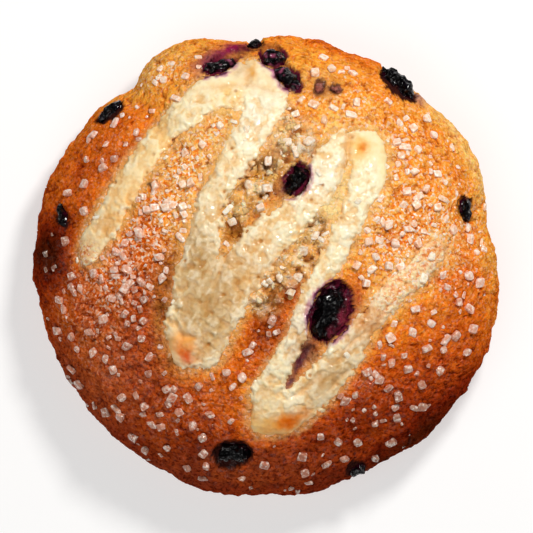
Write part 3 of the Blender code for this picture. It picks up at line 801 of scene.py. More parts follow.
def crust_brownness_and_rim_shade(points):
    """How far the crust is baked: 0.2 pale, 0.4 golden, 0.55 orange, 0.7 red brown, 1 burnt, with painted
    light and shade on the rim.
    """
    x, y = points[:, 0], points[:, 1]
    share = np.hypot(x, y) / rim_radius(np.arctan2(y, x))
    brown = 0.47 + 0.1 * share**3 + sum(spots(x, y, BAKED))
    # the rim darker on the lower left, away from the key light, and paler towards it: partly browner baking,
    # partly painted shade and light
    shaded = smooth_step(0.5 - (0.35 * x + y) / (50 * MM))
    brown += smooth_step((share - 0.9) / 0.1) * (0.24 * shaded - 0.12)
    return brown + 0.09 * rough(points, 9, 31) + 0.08 * rough(points, 3, 35)


def level_with(points, x, y, reach):
    """1 at the height of a place on the dome, falling to 0 well below it."""
    below = dome_height(x * MM, y * MM) - points[:, 2]
    return smooth_step(2.0 - below / (reach * MM))


def baked_colours_and_shade(points, to_ribbon, cracks):
    brown = crust_brownness_and_rim_shade(points)
    near = smooth_step(1 - to_ribbon / (4.5 * MM))
    brown -= 0.16 * near * (0.7 + 0.6 * rough(points, 2.5, 51))
    under = smooth_step((0.7 * RIM_HEIGHT - points[:, 2]) / (0.5 * RIM_HEIGHT))
    brown = brown * (1 - under) + 0.62 * under + 0.05 * under * rough(points, 5, 37)
    colour = mix(ramp(brown, CRUST_TONES), tone(160, 96, 44), 0.55 * under)
    # darker and redder in the cracks and pits: painted shade in them
    return colour * (1 - 0.75 * cracks[:, None] * np.array((0.45, 0.75, 0.9)))


def crumb_colours(points, craggy):
    tones = [(place, tone(*colour)) for place, colour in CRUMB_TONES]
    # darker low in the relief, paler high on it: partly painted shade and light
    crumb_colour_and_light = ramp(craggy + 0.5 * rough(points, 1.2, 58), tones)
    gold = smooth_step(0.2 + 1.8 * rough(points, 4.5, 55))
    return mix(crumb_colour_and_light, tone(238, 176, 92), 0.55 * gold * smooth_step(craggy + 0.6))


def crust_colours(points, crumb, film, to_ribbon, craggy, cracks):
    """Colours of the crust and crumb, and how wet with juice they are."""
    colour = mix(baked_colours_and_shade(points, to_ribbon, cracks), crumb_colours(points, craggy), crumb)
    colour = mix(colour, tone(232, 174, 104), 0.6 * film)
    uneven = 0.9 + 0.5 * rough(points, 1.6, 63)
    x, y = strayed(points, 2.2, 1.1, 66)
    for *oval, strength, tint in CRUST_TINTS_AND_SHADES:
        share = strength * spot(x, y, *oval) * uneven * level_with(points, *oval[:2], oval[2] + 1)
        colour = mix(colour, tone(*tint), share)
    wet = np.zeros(len(points))
    for *oval, strength, tint in JUICE:
        share = strength * spot(x, y, *oval) * (0.8 * uneven + 0.4)
        share = share * level_with(points, *oval[:2], 0.5 * (oval[2] + oval[3]))
        colour = mix(colour, tone(*tint), share)
        wet = np.maximum(wet, share)
    juice = mix(np.tile(tone(30, 5, 16), (len(points), 1)), tone(132, 34, 62), 1.4 * uneven - 0.9)
    for berry in BERRIES:
        away = berry_distance(x, y, berry)
        burst = berry.name in BURST
        stain = smooth_step(((0.55 if burst else 0.4) + 1.6 * (uneven - 0.9) - away) / 0.7)
        stain = np.maximum(stain, smooth_step((0.3 - away) / 0.25))
        stain = stain * level_with(points, berry.x, berry.y, 0.5 * berry.across + berry.sink)
        edging = tone(112, 66, 44) if "buried" in berry.name else tone(58, 26, 22)
        colour = mix(colour, juice if burst else edging, stain)
        wet = np.maximum(wet, stain)
    return colour, np.clip(wet, 0, 1)


# ---- the ribbon


def skin_share(x, y):
    """Where the ribbon has a smooth baked skin: 1, elsewhere it is curdled: 0."""
    return smooth_step(np.max(spots(x, y, SKINS), axis=0) * 1.4)


def ragged_edge(x, y, skin):
    """How far the ribbon's edge is led astray: least on its skin, most beside the torn crumb."""
    flat = np.stack([x, y, np.zeros_like(x)], axis=1)
    ragged = (0.9 - 0.4 * skin) * MM * rough(flat, 6.5, 70, 1)
    ragged += (1.1 - 0.8 * skin) * MM * rough(flat, 2.8, 71)
    ragged += (0.9 - 0.7 * skin) * MM * rough(flat, 1.2, 75)
    frayed = torn(x, y) * smooth_step((12 * MM - x) / (4 * MM))
    return ragged + frayed * MM * (rough(flat, 3.6, 77) + 0.8 * rough(flat, 1.7, 79, 2))


def ribbon_level(x, y, ragged):
    """The ribbon's height over its bed, and the distance from its edge, negative inside."""
    level, nearest = np.full(len(x), -FAR), np.full(len(x), FAR)
    for limb in LIMBS:
        share, away = np.full(len(x), FAR), np.full(len(x), FAR)
        for at_x, at_y, half in smooth_path(limb, CREAM_STEP):
            middle = np.hypot(x - at_x, y - at_y) + ragged
            share = np.minimum(share, middle / half)
            away = np.minimum(away, middle - half)
        crown = np.clip(1 - np.clip(share, 0, 1) ** (2 / SQUARENESS), 0, 1) ** (SQUARENESS / 2)
        level = np.maximum(level, RIBBON_RISE * crown - 1.6 * np.clip(away, 0, None))
        nearest = np.minimum(nearest, away)
    return level, nearest


def cream_field():
    """The ribbon's top on a square grid: the points used, distance from its edge, skin and squares."""
    knots = np.array([knot for limb in LIMBS for knot in limb]) * MM
    low = (knots[:, :2] - knots[:, 2:]).min(axis=0) - CREAM_MARGIN
    high = (knots[:, :2] + knots[:, 2:]).max(axis=0) + CREAM_MARGIN
    steps = [start + np.arange(int(size)) * CREAM_GRID for start, size in zip(low, (high - low) / CREAM_GRID)]
    grid = np.meshgrid(*steps, indexing="ij")
    x, y = (plan.ravel() for plan in grid)
    near = np.flatnonzero(distance_to(x, y, LIMBS)[0] < CREAM_REACH)
    x, y = x[near], y[near]
    skin = skin_share(x, y)
    ragged = ragged_edge(x, y, skin)
    level, nearest = ribbon_level(x, y, ragged)
    top = dome_height(x, y) - RIBBON_SINK + level
    cut = nearest.copy()
    for berry in BERRIES:
        beside = berry_distance(x, y, berry) * MM
        cut = np.maximum(cut, 0.6 * MM - beside + 0.4 * ragged)
        top -= 0.5 * MM * smooth_step(0.8 - beside / (1.2 * MM))
    keep = np.zeros(grid[0].size, bool)
    keep[near[cut < 0.5 * MM]] = True
    number = np.full(grid[0].size, -1)
    number[near] = np.arange(len(near))
    whole = np.logical_and.reduce(grid_corners(keep.reshape(grid[0].shape)))
    corners = grid_corners(number.reshape(grid[0].shape))
    used, squares = np.unique(np.stack([corner[whole] for corner in corners], axis=1), return_inverse=True)
    points = np.stack([x, y, top], axis=1)[used]
    return points, nearest[used], skin[used], squares.reshape(-1, 4)


def cream_relief(points, nearest, skin):
    """Curds, flakes and small pits in mm, the share of dimples, and how high the curds stand for colour."""
    body = 0.3 + 0.7 * smooth_step((-nearest) / (1.4 * MM))
    warped = points + 0.9 * MM * np.stack([rough(points, 2.4, seed, 2) for seed in (82, 83, 84)], axis=1)
    curd = rough(warped, 4.2, 81, 2)
    lump, own_lump = cell_distance(warped, 2.1, 85)
    crest = np.exp(-((lump / 0.42) ** 2)) * (0.3 + 0.7 * own_lump)
    grain = rough(points, 1.1, 88, 2)
    flake = smooth_step((rough(warped, 3.2, 141, 2) + 0.1) / 0.2) - 0.5
    fine = (0.45 - 0.2 * skin) * curd + (0.3 - 0.26 * skin) * crest + (0.1 - 0.08 * skin) * grain
    fine += 0.32 * (1 - 0.85 * skin) * flake
    pit, own = cell_distance(points, 3.2, 91)
    dimple = smooth_step(1.3 - 1.3 * pit / (0.13 + 0.1 * own)) * (own > 0.3) * (1 - 0.7 * skin)
    return fine * body - 0.4 * dimple, dimple, 0.6 * curd + 0.6 * crest + 0.4 * grain + 0.45 * flake - 0.15


def rim_edges(faces):
    """The edges that only one of the faces has."""
    edges = np.concatenate([faces[:, [i, (i + 1) % 4]] for i in range(4)])
    _, where, times = np.unique(np.sort(edges, axis=1), axis=0, return_index=True, return_counts=True)
    return edges[where[times == 1]]


def make_cream():
    points, nearest, skin, upper = cream_field()
    x, y = points[:, 0].copy(), points[:, 1].copy()
    fine, dimple, height = cream_relief(points, nearest, skin)
    fold = sum(valley(x, y, knots) for knots in CREASES)
    fine -= fold
    for pit_x, pit_y, reach, depth in CREAM_PITS:
        fine -= depth * spot(x, y, pit_x, pit_y, reach)
    points[:, 2] += np.clip(fine, -1.6, 0.75) * MM

    # the underside, a copy that lies deeper, joined round the edge
    count, under = len(points), points - [0, 0, CREAM_DEPTH]
    rim = rim_edges(upper)
    wall = np.concatenate([rim[:, ::-1], rim + count], axis=1)
    made = new_object(
        "cream_cheese", np.concatenate([points, under]), np.concatenate([upper, upper[:, ::-1] + count, wall])
    )
    crusty = smooth_step(1.7 * (spot(x, y, 33.5, -2, 10.5, 4.2, 48) + spot(x, y, -41.5, 2, 3.5)))
    colour = cream_colours(points, nearest, skin, height * (1 - 0.8 * crusty), fold)
    colour = mix(colour, tone(186, 116, 30), 0.9 * dimple)
    for name, values in (("crusty", crusty), ("tone", colour), ("skin", skin)):
        paint(made, name, np.concatenate([values, values]))
    paint_level(made)
    return made


def cream_colours(points, nearest, skin, height, fold):
    x, y = strayed(points, 2, 0.8, 102)
    yellow = 0.22 + (0.5 - 0.3 * skin) * rough(points, 5, 95)
    yellow += (0.5 - 0.35 * skin) * rough(points, 1.6, 98, 2)
    yellow += 0.35 * smooth_step(1 + nearest / (1.5 * MM))
    colour = mix(np.tile(tone(255, 242, 206), (len(x), 1)), tone(242, 200, 124), 0.8 * yellow)
    # darker tan in the pressed creases: painted shade in them
    colour = mix(colour, tone(222, 164, 88), 0.7 * np.clip(fold, 0, 1))
    uneven = 0.95 + 0.5 * rough(points, 1.8, 101)
    for *oval, strength, tint in CREAM_TINTS_AND_SHADES:
        colour = mix(colour, tone(*tint), strength * spot(x, y, *oval) * uneven)
    curdled = 1 - 0.7 * skin
    # yellower and darker low between the curds, partly their own colour, partly painted shade; paler on their
    # tops: painted light
    yellower_shaded = colour * np.array((0.86, 0.62, 0.34))
    colour = mix(colour, yellower_shaded, 0.75 * curdled * smooth_step(-height / 0.5))
    paler_lit = mix(colour, tone(255, 241, 208), 0.6 * smooth_step((colour[:, 2] - 0.05) / 0.2))
    colour = mix(colour, paler_lit, 0.9 * curdled * smooth_step(height / 0.45))
    # darker warm brown along the ribbon's edge, where it dips into the crust: painted shade
    rim = smooth_step(1 + (nearest - 0.2 * MM) / (0.8 * MM)) * (1 - 0.5 * skin)
    colour = mix(colour, tone(222, 154, 78), 0.65 * rim)
    juicy = smooth_step(0.8 + 1.2 * rough(points, 2.2, 131, 1))
    for berry in BERRIES:
        away = berry_distance(x, y, berry)
        colour = mix(colour, tone(182, 90, 142), 0.7 * juicy * smooth_step((1.5 - away) / 0.7))
        colour = mix(colour, tone(84, 10, 56), 0.95 * juicy * smooth_step((0.8 - away) / 0.4))
    return colour


# ---- berries


def berry_frame(berry):
    """A berry's middle and its axes, as the solids have them."""
    x, y = berry.x * MM, berry.y * MM
    up = dome_up(x, y)
    along = Matrix.Rotation(math.radians(berry.turn), 3, "Z") @ Vector((1, 0, 0))
    along = (along - up * along.dot(up)).normalized()
    centre = Vector((x, y, float(dome_height(x, y)))) - up * berry.sink * MM
    return np.array(centre), np.array(Matrix((along, up.cross(along), up)))


def make_berry(berry, seed):
    centre, axes = berry_frame(berry)
    sizes = np.array([berry.along, berry.across, berry.through]) * MM
    ball, faces = ball_of(BERRY_CUTS)
    shift = Vector((seed, 0, 0))
    crease = np.array([abs(noise.noise(Vector(point) * WRINKLE_PITCH + shift)) for point in ball])
    local = ball * sizes * (1 - BERRY_WRINKLE * crease)[:, None]
    seen = local + seed * 7 * MM
    seen = seen + 0.5 * MM * np.stack([rough(seen, 1.8, layer, 1) for layer in (108, 109, 110)], axis=1)
    bead = 0.45 - cell_distance(seen, 1.7, 113)[0]
    folds = ridges(seen, 3.2, 111, 1) - 0.85
    dents = np.clip(rough(seen, 3.4, 117, 1), -1, 0.1)
    pushed = min(1, sizes.min() / (2.6 * MM)) * MM * (folds + 0.55 * bead + 1.2 * dents)
    local += ball * np.clip(pushed, -0.35 * sizes.min(), 0.15 * MM)[:, None]
    points = centre + local @ axes
    made = new_object(berry.name + "_skin", points, faces)
    paint(made, "tone", berry_colours(berry, points, ball))
    return made


def berry_colours(berry, points, ball):
    """Nearly black skin, with juice, pulp, bloom or crumb on it. A point of ball tells its side."""
    juicy = smooth_step(0.9 * rough(points, 1.8, 121) + 0.9 * (0.5 - ball[:, 2]))
    colour = np.tile(tone(3, 2, 3), (len(points), 1))
    colour = mix(colour, tone(96, 10, 46), (0.8 if berry.name in BURST[1:] else 0.35) * juicy)
    if berry.name == "berry_heart":
        flank = smooth_step(-1.5 * ball[:, 1] - 0.35 + 0.8 * rough(points, 2.2, 133))
        colour = mix(colour, tone(128, 38, 58), 0.85 * flank)
    if berry.name in BURST[2:]:
        pulp = smooth_step(1.6 * rough(points, 1.5, 129, 1) - 0.3)
        colour = mix(colour, tone(176, 84, 118), 0.8 * pulp)
    if berry.sink < 1.3:
        bloom = smooth_step(0.6 * rough(points, 1.3, 125) - 0.05)
        colour = mix(colour, tone(96, 80, 104), 0.5 * bloom)
    if "buried" in berry.name:
        colour = mix(colour, tone(150, 84, 70), smooth_step(0.75 + 1.2 * rough(points, 1.2, 127)))
    return colour


# ---- sugar and crumbs


class Heap:
    """Many small bodies, lying on a surface, that become one object."""

    def __init__(self, surface):
        self.surface = surface
        self.points, self.faces, self.tones, self.count = [], [], [], 0

    def ground(self, x, y):
        """Where a line straight down meets the surface, and the surface's direction there."""
        return self.surface.ray_cast(Vector((x, y, 2 * HEIGHT)), Vector((0, 0, -1)))[:2]

    def add(self, points, faces, tones):
        self.points.append(points)
        self.faces.append(faces + self.count)
        self.tones.append(tones)
        self.count += len(points)

    def make(self, name):
        made = new_object(name, np.concatenate(self.points), np.concatenate(self.faces))
        paint(made, "tone", np.clip(np.concatenate(self.tones), 0, 1))
        return made


def place_in_disc(draw, reach):
    radius = reach * math.sqrt(draw.random())
    turn = draw.uniform(0, 2 * math.pi)
    return radius * math.cos(turn), radius * math.sin(turn)


def crystal_places():
    """Plan places of the crystals that the solids have."""
    draw = random.Random(SUGAR_SEED)
    places = []
    while len(places) < CRYSTALS:
        x, y = place_in_disc(draw, CRYSTAL_REACH)
        place = Vector((x, y, float(dome_height(x, y))))
        to_ribbon = clearances(x, y)[0]
        to_berry = min(math.hypot(x - b.x * MM, y - b.y * MM) - b.along * MM for b in BERRIES)
        to_crystal = min([(place - other).length for other in places], default=math.inf)
        if min(to_ribbon, to_berry) > CRYSTAL_CLEARANCE and to_crystal > CRYSTAL_SPACING:
            places.append(place)
    return places


def crystal_template(draw):
    """A cube of edge 1 with uneven corners and rounded edges, and which points belong to its flat sides."""
    shape = bmesh.new()
    bmesh.ops.create_cube(shape, size=1)
    for vertex in shape.verts:
        vertex.co += Vector([draw.uniform(-CORNER_STRAY, CORNER_STRAY) for _ in range(3)])
    rounding = {"offset": draw.uniform(*ROUNDING), "segments": 2, "profile": 0.5, "affect": "EDGES"}
    bmesh.ops.bevel(shape, geom=list(shape.edges), **rounding)
    sides = [face for face in shape.faces if face.calc_area() > FLAT_SIDE]
    bmesh.ops.inset_individual(shape, faces=sides, thickness=0.06, depth=0)
    flat = {vertex for face in sides for vertex in face.verts}
    shape.verts.index_update()
    core = np.array([float(vertex in flat) for vertex in shape.verts])
    bmesh.ops.triangulate(shape, faces=shape.faces)
    shape.verts.index_update()
    return *arrays_of(shape), core


def sugar_share(x, y):
    return np.clip(sum(spots(x, y, SUGAR_DRIFTS)), 0, 1)


def crystal_tones(x, y, ground, core, draw):
    """A crystal's colours: those of the crust, crumb or ribbon below, clouded most at its edges, which are
    paler with painted light, and dimmer over dark crust, painted shade.
    """
    here = np.array([x]), np.array([y])
    below = ramp(crust_brownness_and_rim_shade(np.array([ground])), CRUST_TONES)
    below = mix(below, tone(236, 190, 120), torn(*here))
    on_ribbon = distance_to(*here, LIMBS)[0] < 0.4 * MM
    below = mix(below, tone(252, 226, 176), 1.0 * on_ribbon)
    cloud_and_light = draw.uniform(*CLOUDED_CORE) * core + draw.uniform(*CLOUDED_LIT_EDGE) * (1 - core)
    # less white and dimmer over darker crust: painted shade
    cloud_and_light = cloud_and_light * min(1.0, 0.45 + 0.65 * float(below[0, 0]))
    lit = float(smooth_step((below[0, 0] - 0.45) / 0.5))
    white = np.array((1.0, 0.8 + 0.14 * lit, 0.62 + 0.24 * lit)) * (0.68 + 0.32 * lit)
    return mix(np.repeat(below, len(core), axis=0), white, cloud_and_light)


def in_hollow(x, y):
    return any(math.hypot(x - h[0] * MM, y - h[1] * MM) < HOLLOW_FLOOR * h[2] * MM for h in HOLLOWS)


class Sugar(Heap):
    """Crystals, coloured by what lies below them."""

    def __init__(self, surface, draw):
        super().__init__(surface)
        self.draw = draw
        self.templates = [crystal_template(draw) for _ in range(TEMPLATES)]
        self.placed = []

    def lay(self, x, y, edges, turns, sunk):
        ground = self.ground(x, y)[0]
        if ground is None:
            return
        up = dome_up(x, y)
        axes = up.to_track_quat("Z", "Y").to_matrix()
        for axis, turn in zip("XYZ", turns):
            axes = axes @ Matrix.Rotation(turn, 3, axis)
        centre = ground + up * edges[2] * (0.5 - sunk)
        points, faces, core = self.draw.choice(self.templates)
        points = (points * np.array(edges)) @ np.array(axes).T + np.array(centre)
        self.add(points, faces, crystal_tones(x, y, ground, core, self.draw))
        self.placed.append((x, y))

    def has_room(self, x, y):
        """Whether a loose crystal may lie here: more often in the drifts, seldom on the ribbon."""
        thick = sugar_share(np.array([x]), np.array([y]))[0]
        if self.draw.random() > LOOSE_EVERYWHERE + (1 - LOOSE_EVERYWHERE) * thick:
            return False
        to_ribbon, to_berry = clearances(x, y)
        if to_berry < LOOSE_OFF_BERRY or in_hollow(x, y):
            return False
        if to_ribbon < LOOSE_OFF_RIBBON and self.draw.random() > LOOSE_ON_RIBBON:
            return False
        return min(math.hypot(x - at_x, y - at_y) for at_x, at_y in self.placed) >= LOOSE_SPACING


def make_sugar(surface):
    """The crystals that the solids have, and smaller loose ones between them."""
    draw, finer = random.Random(SUGAR_SEED), random.Random(SUGAR_SEED + 1)
    sugar = Sugar(surface, finer)
    for place in crystal_places():
        edges = [draw.uniform(*CRYSTAL_EDGE) for _ in range(3)]
        edges[2] *= CRYSTAL_FLATNESS
        turns = [draw.uniform(-most, most) for most in (CRYSTAL_LEAN, CRYSTAL_LEAN, math.pi)]
        sugar.lay(place.x, place.y, edges, turns, CRYSTAL_SUNK)
    wanted = LOOSE_CRYSTALS
    while wanted:
        x, y = place_in_disc(finer, LOOSE_REACH)
        if not sugar.has_room(x, y):
            continue
        size = finer.choice(LOOSE_SIZES) * MM
        edges = [size * finer.uniform(*span) for span in LOOSE_SPANS]
        turns = [finer.uniform(-most, most) for most in LOOSE_TURNS]
        sugar.lay(x, y, edges, turns, LOOSE_SUNK)
        wanted -= 1
    made = sugar.make("sugar_crystals")
    made.data.set_sharp_from_angle(angle=math.radians(35))
    return made


def make_crumbs(surface):
    """Torn crumbs and flakes on the opened crumb."""
    draw = random.Random(CRUMB_SEED)
    ball, faces = ball_of(2)
    heap = Heap(surface)
    strips = [knot for strip in CRUMB_STRIPS for knot in strip]
    while len(heap.points) < CRUMBS:
        middle_x, middle_y, half = draw.choice(strips)
        x = (middle_x + draw.gauss(0, CRUMB_STRAY[0]) * half) * MM
        y = (middle_y + draw.gauss(0, CRUMB_STRAY[1]) * half) * MM
        to_ribbon, to_berry = clearances(x, y)
        if to_ribbon < -CRUMB_INTO_RIBBON or to_berry < CRUMB_OFF_BERRY:
            continue
        if torn(np.array([x]), np.array([y]))[0] < draw.random():
            continue
        ground, up = heap.ground(x, y)
        size = CRUMB_EDGE[0] + (CRUMB_EDGE[1] - CRUMB_EDGE[0]) * draw.random() ** 2.5
        sizes = [draw.uniform(*span) * size / 2 for span in CRUMB_SPANS]
        turn = draw.uniform(0, 6.3)
        turn = np.array(Matrix.Rotation(turn, 3, Vector([draw.gauss(0, 1) for _ in range(3)])))
        bumps = 1 + CRUMB_BUMPS * gradient_noise(ball * 1.5 + draw.uniform(0, 50), 131)
        points = (ball * bumps[:, None] * sizes) @ turn.T + np.array(ground - up * size * CRUMB_SUNK)
        shade = draw.uniform(*CRUMB_SHADES)
        heap.add(points, faces, np.tile(tone(*draw.choice(CRUMB_COLOURS)) * shade, (len(ball), 1)))
    return heap.make("torn_crumbs")


# ---- materials


class Nodes:
    """A short way to build a material's nodes."""

    def __init__(self, name):
        self.material = bpy.data.materials.new(name)
        self.material.use_nodes = True
        self.tree = self.material.node_tree
        self.surface = self.tree.nodes["Principled BSDF"]

    def set(self, socket, value):
        if isinstance(value, bpy.types.NodeSocket):
            self.tree.links.new(value, socket)
        else:
            socket.default_value = value

    def add(self, kind, inputs, **settings):
        node = self.tree.nodes.new(kind)
        for key, value in settings.items():
            setattr(node, key, value)
        for key, value in inputs.items():
            self.set(node.inputs[key], value)
        return node.outputs

    def noise(self, size_mm, detail=3.0, roughness=0.55, distortion=0.0):
        place = self.add("ShaderNodeTexCoord", {})["Object"]
        inputs = {"Vector": place, "Scale": 1 / MM / size_mm, "Detail": detail, "Roughness": roughness}
        return self.add("ShaderNodeTexNoise", {**inputs, "Distortion": distortion})["Fac"]

    def remap(self, value, low, high, to_low=0.0, to_high=1.0):
        inputs = {"Value": value, "From Min": low, "From Max": high, "To Min": to_low, "To Max": to_high}
        return self.add("ShaderNodeMapRange", inputs)["Result"]

    def mix(self, share, first, second, how="MIX"):
        inputs = {0: share, 6: first, 7: second}
        return self.add("ShaderNodeMix", inputs, data_type="RGBA", blend_type=how, clamp_result=True)[2]

    def times(self, colour, by):
        return self.mix(1.0, colour, by, "MULTIPLY")

    def between(self, share, first, second):
        """A number between two others."""
        return self.add("ShaderNodeMix", {0: share, 2: first, 3: second}, data_type="FLOAT")[0]

    def product(self, first, second):
        return self.add("ShaderNodeMath", {0: first, 1: second}, operation="MULTIPLY", use_clamp=True)[0]

    def channel(self, colour, name):
        return self.add("ShaderNodeSeparateColor", {"Color": colour})[name]

    def colour(self):
        return self.add("ShaderNodeAttribute", {}, attribute_name="tone")["Color"]

    def painted(self, name):
        return self.add("ShaderNodeAttribute", {}, attribute_name=name)["Fac"]

    def bump(self, height, distance_mm, strength=1.0, **below):
        inputs = {"Height": height, "Distance": distance_mm * MM, "Strength": strength, **below}
        return self.add("ShaderNodeBump", inputs)["Normal"]

    def scatter(self, weight, radius, scale):
        self.finish(Subsurface_Weight=weight, Subsurface_Radius=radius, Subsurface_Scale=scale)

    def finish(self, **sockets):
        for key, value in sockets.items():
            self.set(self.surface.inputs[key.replace("_", " ")], value)
        return self.material


def crust_grain(n, colour, sugar_and_glints):
    """Fine baked grain: darker crevices, painted shade, and paler crests, painted highlights, with painted
    sparkles; the highlights are strongest where sugar lies thick.
    """
    grain = n.noise(0.85, 2, 0.55, 0.5)
    red = n.channel(colour, "Red")
    light = n.remap(red, 0.4, 0.95)
    # darker, redder crevices where the grain's bump lies low: painted shade in them
    crevice = n.times(colour, n.mix(light, (0.42, 0.25, 0.22, 1), (0.85, 0.36, 0.16, 1)))
    # painted highlights on the crests, whiter on pale crust
    crest_highlight = n.times(colour, (1.4, 1.6, 1.5, 1))
    highlight_tint = n.mix(light, (1.0, 0.72, 0.44, 1), (1.0, 0.82, 0.64, 1))
    glint = n.mix(n.product(light, n.remap(sugar_and_glints, 0, 1, 0.06, 0.7)), crest_highlight, highlight_tint)
    calm = n.product(light, n.remap(sugar_and_glints, 0.1, 0.9, 1, 0))
    crevices = n.product(n.remap(grain, 0.47, 0.37, 0, 0.85), n.remap(calm, 0, 1, 1, 0.5))
    colour = n.mix(crevices, colour, crevice)
    crest = n.product(n.remap(grain, 0.51, 0.62, 0, 0.9), n.remap(sugar_and_glints, 0, 1, 0.45, 0.8))
    colour = n.mix(crest, colour, glint)
    # painted sparkles of light: tiny white dots
    bright = n.product(n.remap(sugar_and_glints, 0, 1, 0.1, 0.9), n.remap(red, 0.35, 0.95, 0.1, 1.0))
    dots = n.product(n.remap(n.noise(0.66, 0), 0.6, 0.67), bright)
    return n.mix(dots, colour, n.mix(light, (1.0, 0.76, 0.52, 1), (1.0, 0.9, 0.78, 1))), grain


def crust_material():
    n = Nodes("crust_look")
    n.scatter(0.16, (1.0, 0.4, 0.15), 0.0012)
    wet = n.painted("wet")
    colour = n.times(n.colour(), n.remap(n.noise(2.4, 3, 0.6), 0.34, 0.66, 0.84, 1.16))
    # the grain's colour holds painted shade in its crevices and painted highlights on its crests
    baked, grain = crust_grain(n, colour, n.painted("sugar_and_glints"))
    pale = n.remap(n.channel(colour, "Green"), 0.1, 0.4)
    # pale flecks on the crumb: painted highlights
    crumb_colour_and_light = n.product(n.remap(n.noise(0.7, 1), 0.56, 0.7, 0, 0.6), pale)
    colour = n.mix(n.painted("crumb"), baked, n.mix(crumb_colour_and_light, colour, (1.0, 0.9, 0.76, 1)))
    normal = n.bump(n.noise(1.9, 1, 0.5), 1.1, 0.8, Normal=n.bump(grain, 0.75))
    return n.finish(
        Base_Color=n.mix(wet, colour, n.colour()),
        Roughness=n.between(wet, n.remap(n.noise(1.3, 2), 0.35, 0.65, 0.3, 0.5), 0.15),
        Normal=normal,
        Specular_IOR_Level=0.0,
        Coat_Weight=n.product(n.painted("level"), n.remap(n.noise(1.4, 2), 0.48, 0.6, 0.0, 0.75)),
        Coat_Roughness=0.1,
        Coat_Normal=normal,
    )


def crumb_material():
    n = Nodes("crumb_look")
    n.scatter(0.3, (1.0, 0.6, 0.3), 0.001)
    return n.finish(
        Base_Color=n.times(n.colour(), n.remap(n.noise(0.6, 3), 0.3, 0.7, 0.8, 1.12)),
        Roughness=n.remap(n.noise(0.9, 2), 0.35, 0.65, 0.3, 0.6),
        Normal=n.bump(n.noise(0.8, 1, 0.5), 0.35),
        Specular_IOR_Level=0.4,
    )


def cream_material():
    n = Nodes("cream_look")
    n.scatter(0.35, (1.0, 0.92, 0.8), 0.0009)
    colour, skin, crusty = n.colour(), n.painted("skin"), n.painted("crusty")
    blue = n.channel(colour, "Blue")
    thin = n.times(colour, (0.84, 0.66, 0.42, 1))
    patched = n.mix(n.remap(n.noise(1.9, 2, 0.5, 0.7), 0.51, 0.38, 0, 0.45), colour, thin)
    white = n.product(n.remap(n.noise(1.5, 2, 0.55, 0.4), 0.47, 0.6, 0, 0.45), n.remap(blue, 0.12, 0.4))
    patched = n.mix(white, patched, n.mix(0.5, colour, (1.0, 0.93, 0.8, 1)))
    patched = n.mix(n.remap(skin, 0, 1, 1.0, 0.25), colour, patched)
    # the grain's colour holds painted shade in its crevices and painted highlights on its crests
    baked, grain = crust_grain(n, colour, 0.6)
    soft = n.between(skin, n.noise(1.9, 1, 0.45, 0.6), n.noise(3.0, 1, 0.4))
    first = n.bump(n.between(crusty, soft, grain), 0.6, 0.9)
    normal = n.bump(n.noise(0.8, 0), 0.2, 0.8, Normal=first)
    gloss = n.remap(n.noise(1.6, 1), 0.42, 0.58, 0.2, 0.5)
    wet = n.product(n.remap(n.noise(1.8, 1), 0.5, 0.58, 0.0, 0.5), n.remap(blue, 0.0, 0.15, 0.15, 1))
    coat = n.between(skin, n.remap(gloss, 0.2, 0.5, 1.0, 0), wet)
    return n.finish(
        Base_Color=n.mix(crusty, patched, baked),
        Roughness=n.between(skin, gloss, 0.28),
        Normal=normal,
        Specular_IOR_Level=0.04,
        Coat_Weight=n.product(n.painted("level"), coat),
        Coat_Roughness=0.12,
        Coat_Normal=normal,
    )


def berry_material():
    n = Nodes("berry_look")
    return n.finish(
        Base_Color=n.times(n.colour(), n.remap(n.noise(1.0, 3), 0.3, 0.7, 0.5, 1.5)),
        Roughness=n.remap(n.noise(1.2, 2), 0.35, 0.65, 0.05, 0.16),
        Normal=n.bump(n.noise(0.9, 1, 0.5, 0.5), 0.6),
        Specular_IOR_Level=0.06,
        Coat_Weight=n.remap(n.noise(1.1, 1), 0.48, 0.58, 0.0, 0.8),
        Coat_Roughness=0.06,
    )


def sugar_material():
    """Clouded crystals, which take some colour from the crust below them."""
    n = Nodes("sugar_look")
    n.scatter(0.3, (1.0, 0.9, 0.8), 0.0006)
    cloudy = n.noise(0.8, 2, 0.6)
    colour = n.mix(n.remap(cloudy, 0.52, 0.62, 0, 0.6), n.colour(), (1.0, 0.93, 0.84, 1))
    return n.finish(
        Base_Color=n.mix(n.remap(cloudy, 0.48, 0.38, 0, 0.7), colour, (0.9, 0.72, 0.58, 1), "MULTIPLY"),
        Roughness=n.remap(n.noise(0.8, 2), 0.35, 0.65, 0.06, 0.18),
        Normal=n.bump(n.noise(0.7, 1, 0.5), 0.3),
        Specular_IOR_Level=0.4,
    )


def floor_material():
    n = Nodes("floor_look")
    return n.finish(
        Base_Color=n.mix(n.noise(60, 2), (0.5, 0.5, 0.5, 1), (0.52, 0.52, 0.52, 1)),
        Roughness=0.9,
        Specular_IOR_Level=0.1,
        Emission_Color=(1, 1, 1, 1),
        Emission_Strength=0.52,
    )


# ---- stage

FLOOR_SIZE = 4
FLOOR_GAP = 0.2 * MM
FRAME_WIDTH_PX = 533
MM_PER_PX = 0.22727
CENTRE_PX = (266.0, 267.0)
CAMERA_HEIGHT = 0.6
WORLD_STRENGTH = 0.12

# direction round the part, height in degrees, distance, width, power, colour
LIGHTS = {
    "key": (60, 54, 0.62, 0.13, 2.95, (1.0, 0.975, 0.94)),
    "fill": (235, 58, 0.9, 0.9, 2.8, (1.0, 0.99, 0.97)),
}


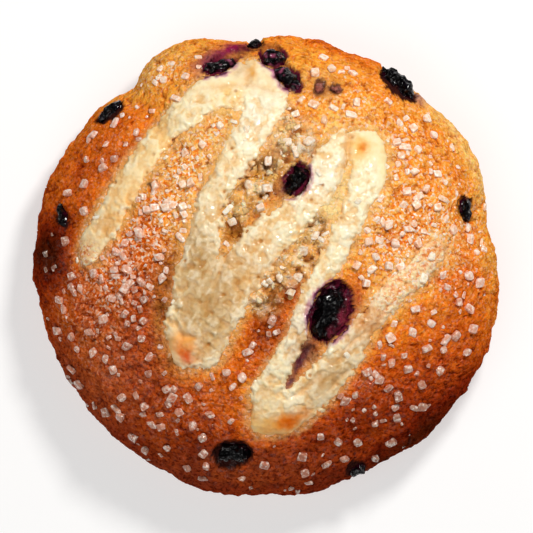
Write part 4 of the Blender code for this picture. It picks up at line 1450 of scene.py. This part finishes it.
def add_light(name, direction, height, away, size, power, colour):
    """A round soft light, aimed at the middle of the part."""
    data = bpy.data.lights.new(name, "AREA")
    data.shape = "DISK"
    data.size, data.energy, data.color = size, power, colour
    light = bpy.data.objects.new(name, data)
    level, turn = away * math.cos(math.radians(height)), math.radians(direction)
    light.location = (level * math.cos(turn), level * math.sin(turn), away * math.sin(math.radians(height)))
    aim = Vector((0, 0, 20 * MM)) - light.location
    light.rotation_euler = aim.to_track_quat("-Z", "Y").to_euler()
    bpy.context.scene.collection.objects.link(light)


def add_camera():
    """A level view from straight above, in which the part lies as in the photo."""
    data = bpy.data.cameras.new("camera")
    data.type = "ORTHO"
    data.ortho_scale = FRAME_WIDTH_PX * MM_PER_PX * MM
    camera = bpy.data.objects.new("camera", data)
    across = (FRAME_WIDTH_PX / 2 - CENTRE_PX[0]) * MM_PER_PX * MM
    along = (CENTRE_PX[1] - FRAME_WIDTH_PX / 2) * MM_PER_PX * MM
    camera.location = (across, along, CAMERA_HEIGHT)
    bpy.context.scene.collection.objects.link(camera)
    bpy.context.scene.camera = camera


def make_stage():
    bpy.ops.mesh.primitive_plane_add(size=FLOOR_SIZE, location=(0, 0, -FLOOR_GAP))
    floor = bpy.context.object
    floor.name = "floor"
    floor.data.materials.append(floor_material())

    world = bpy.data.worlds.new("world")
    bpy.context.scene.world = world
    world.use_nodes = True
    background = world.node_tree.nodes["Background"].inputs
    background["Color"].default_value = (1, 1, 1, 1)
    background["Strength"].default_value = WORLD_STRENGTH
    for name, settings in LIGHTS.items():
        add_light(name, *settings)
    add_camera()
    bpy.context.scene.view_settings.view_transform = "Standard"


# ---- the whole scene


def tree_of(*things):
    """What a line can be cast onto."""
    points, faces = [], []
    for thing in things:
        start = len(points)
        points.extend(v.co for v in thing.data.vertices)
        faces.extend(tuple(start + i for i in p.vertices) for p in thing.data.polygons)
    return BVHTree.FromPolygons(points, faces)


def dress(thing, look, slot, *nodes):
    """Gives a piece its look, its body and the nodes that it stands for. The slot is not used."""
    thing.data.materials.append(look)
    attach(thing, "root")
    if nodes:
        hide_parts(*nodes)


def main():
    cake = make_cake()
    dress(cake, crust_material(), "crust", "cake")
    cream = make_cream()
    dress(cream, cream_material(), "cream", "cream_ribbon")
    skin = berry_material()
    for seed, berry in enumerate(BERRIES):
        dress(make_berry(berry, seed), skin, "berry_skin", berry.name)
    surface = tree_of(cake, cream)
    dress(make_sugar(surface), sugar_material(), "crust")
    dress(make_crumbs(surface), crumb_material(), "crust")
    make_stage()


main()
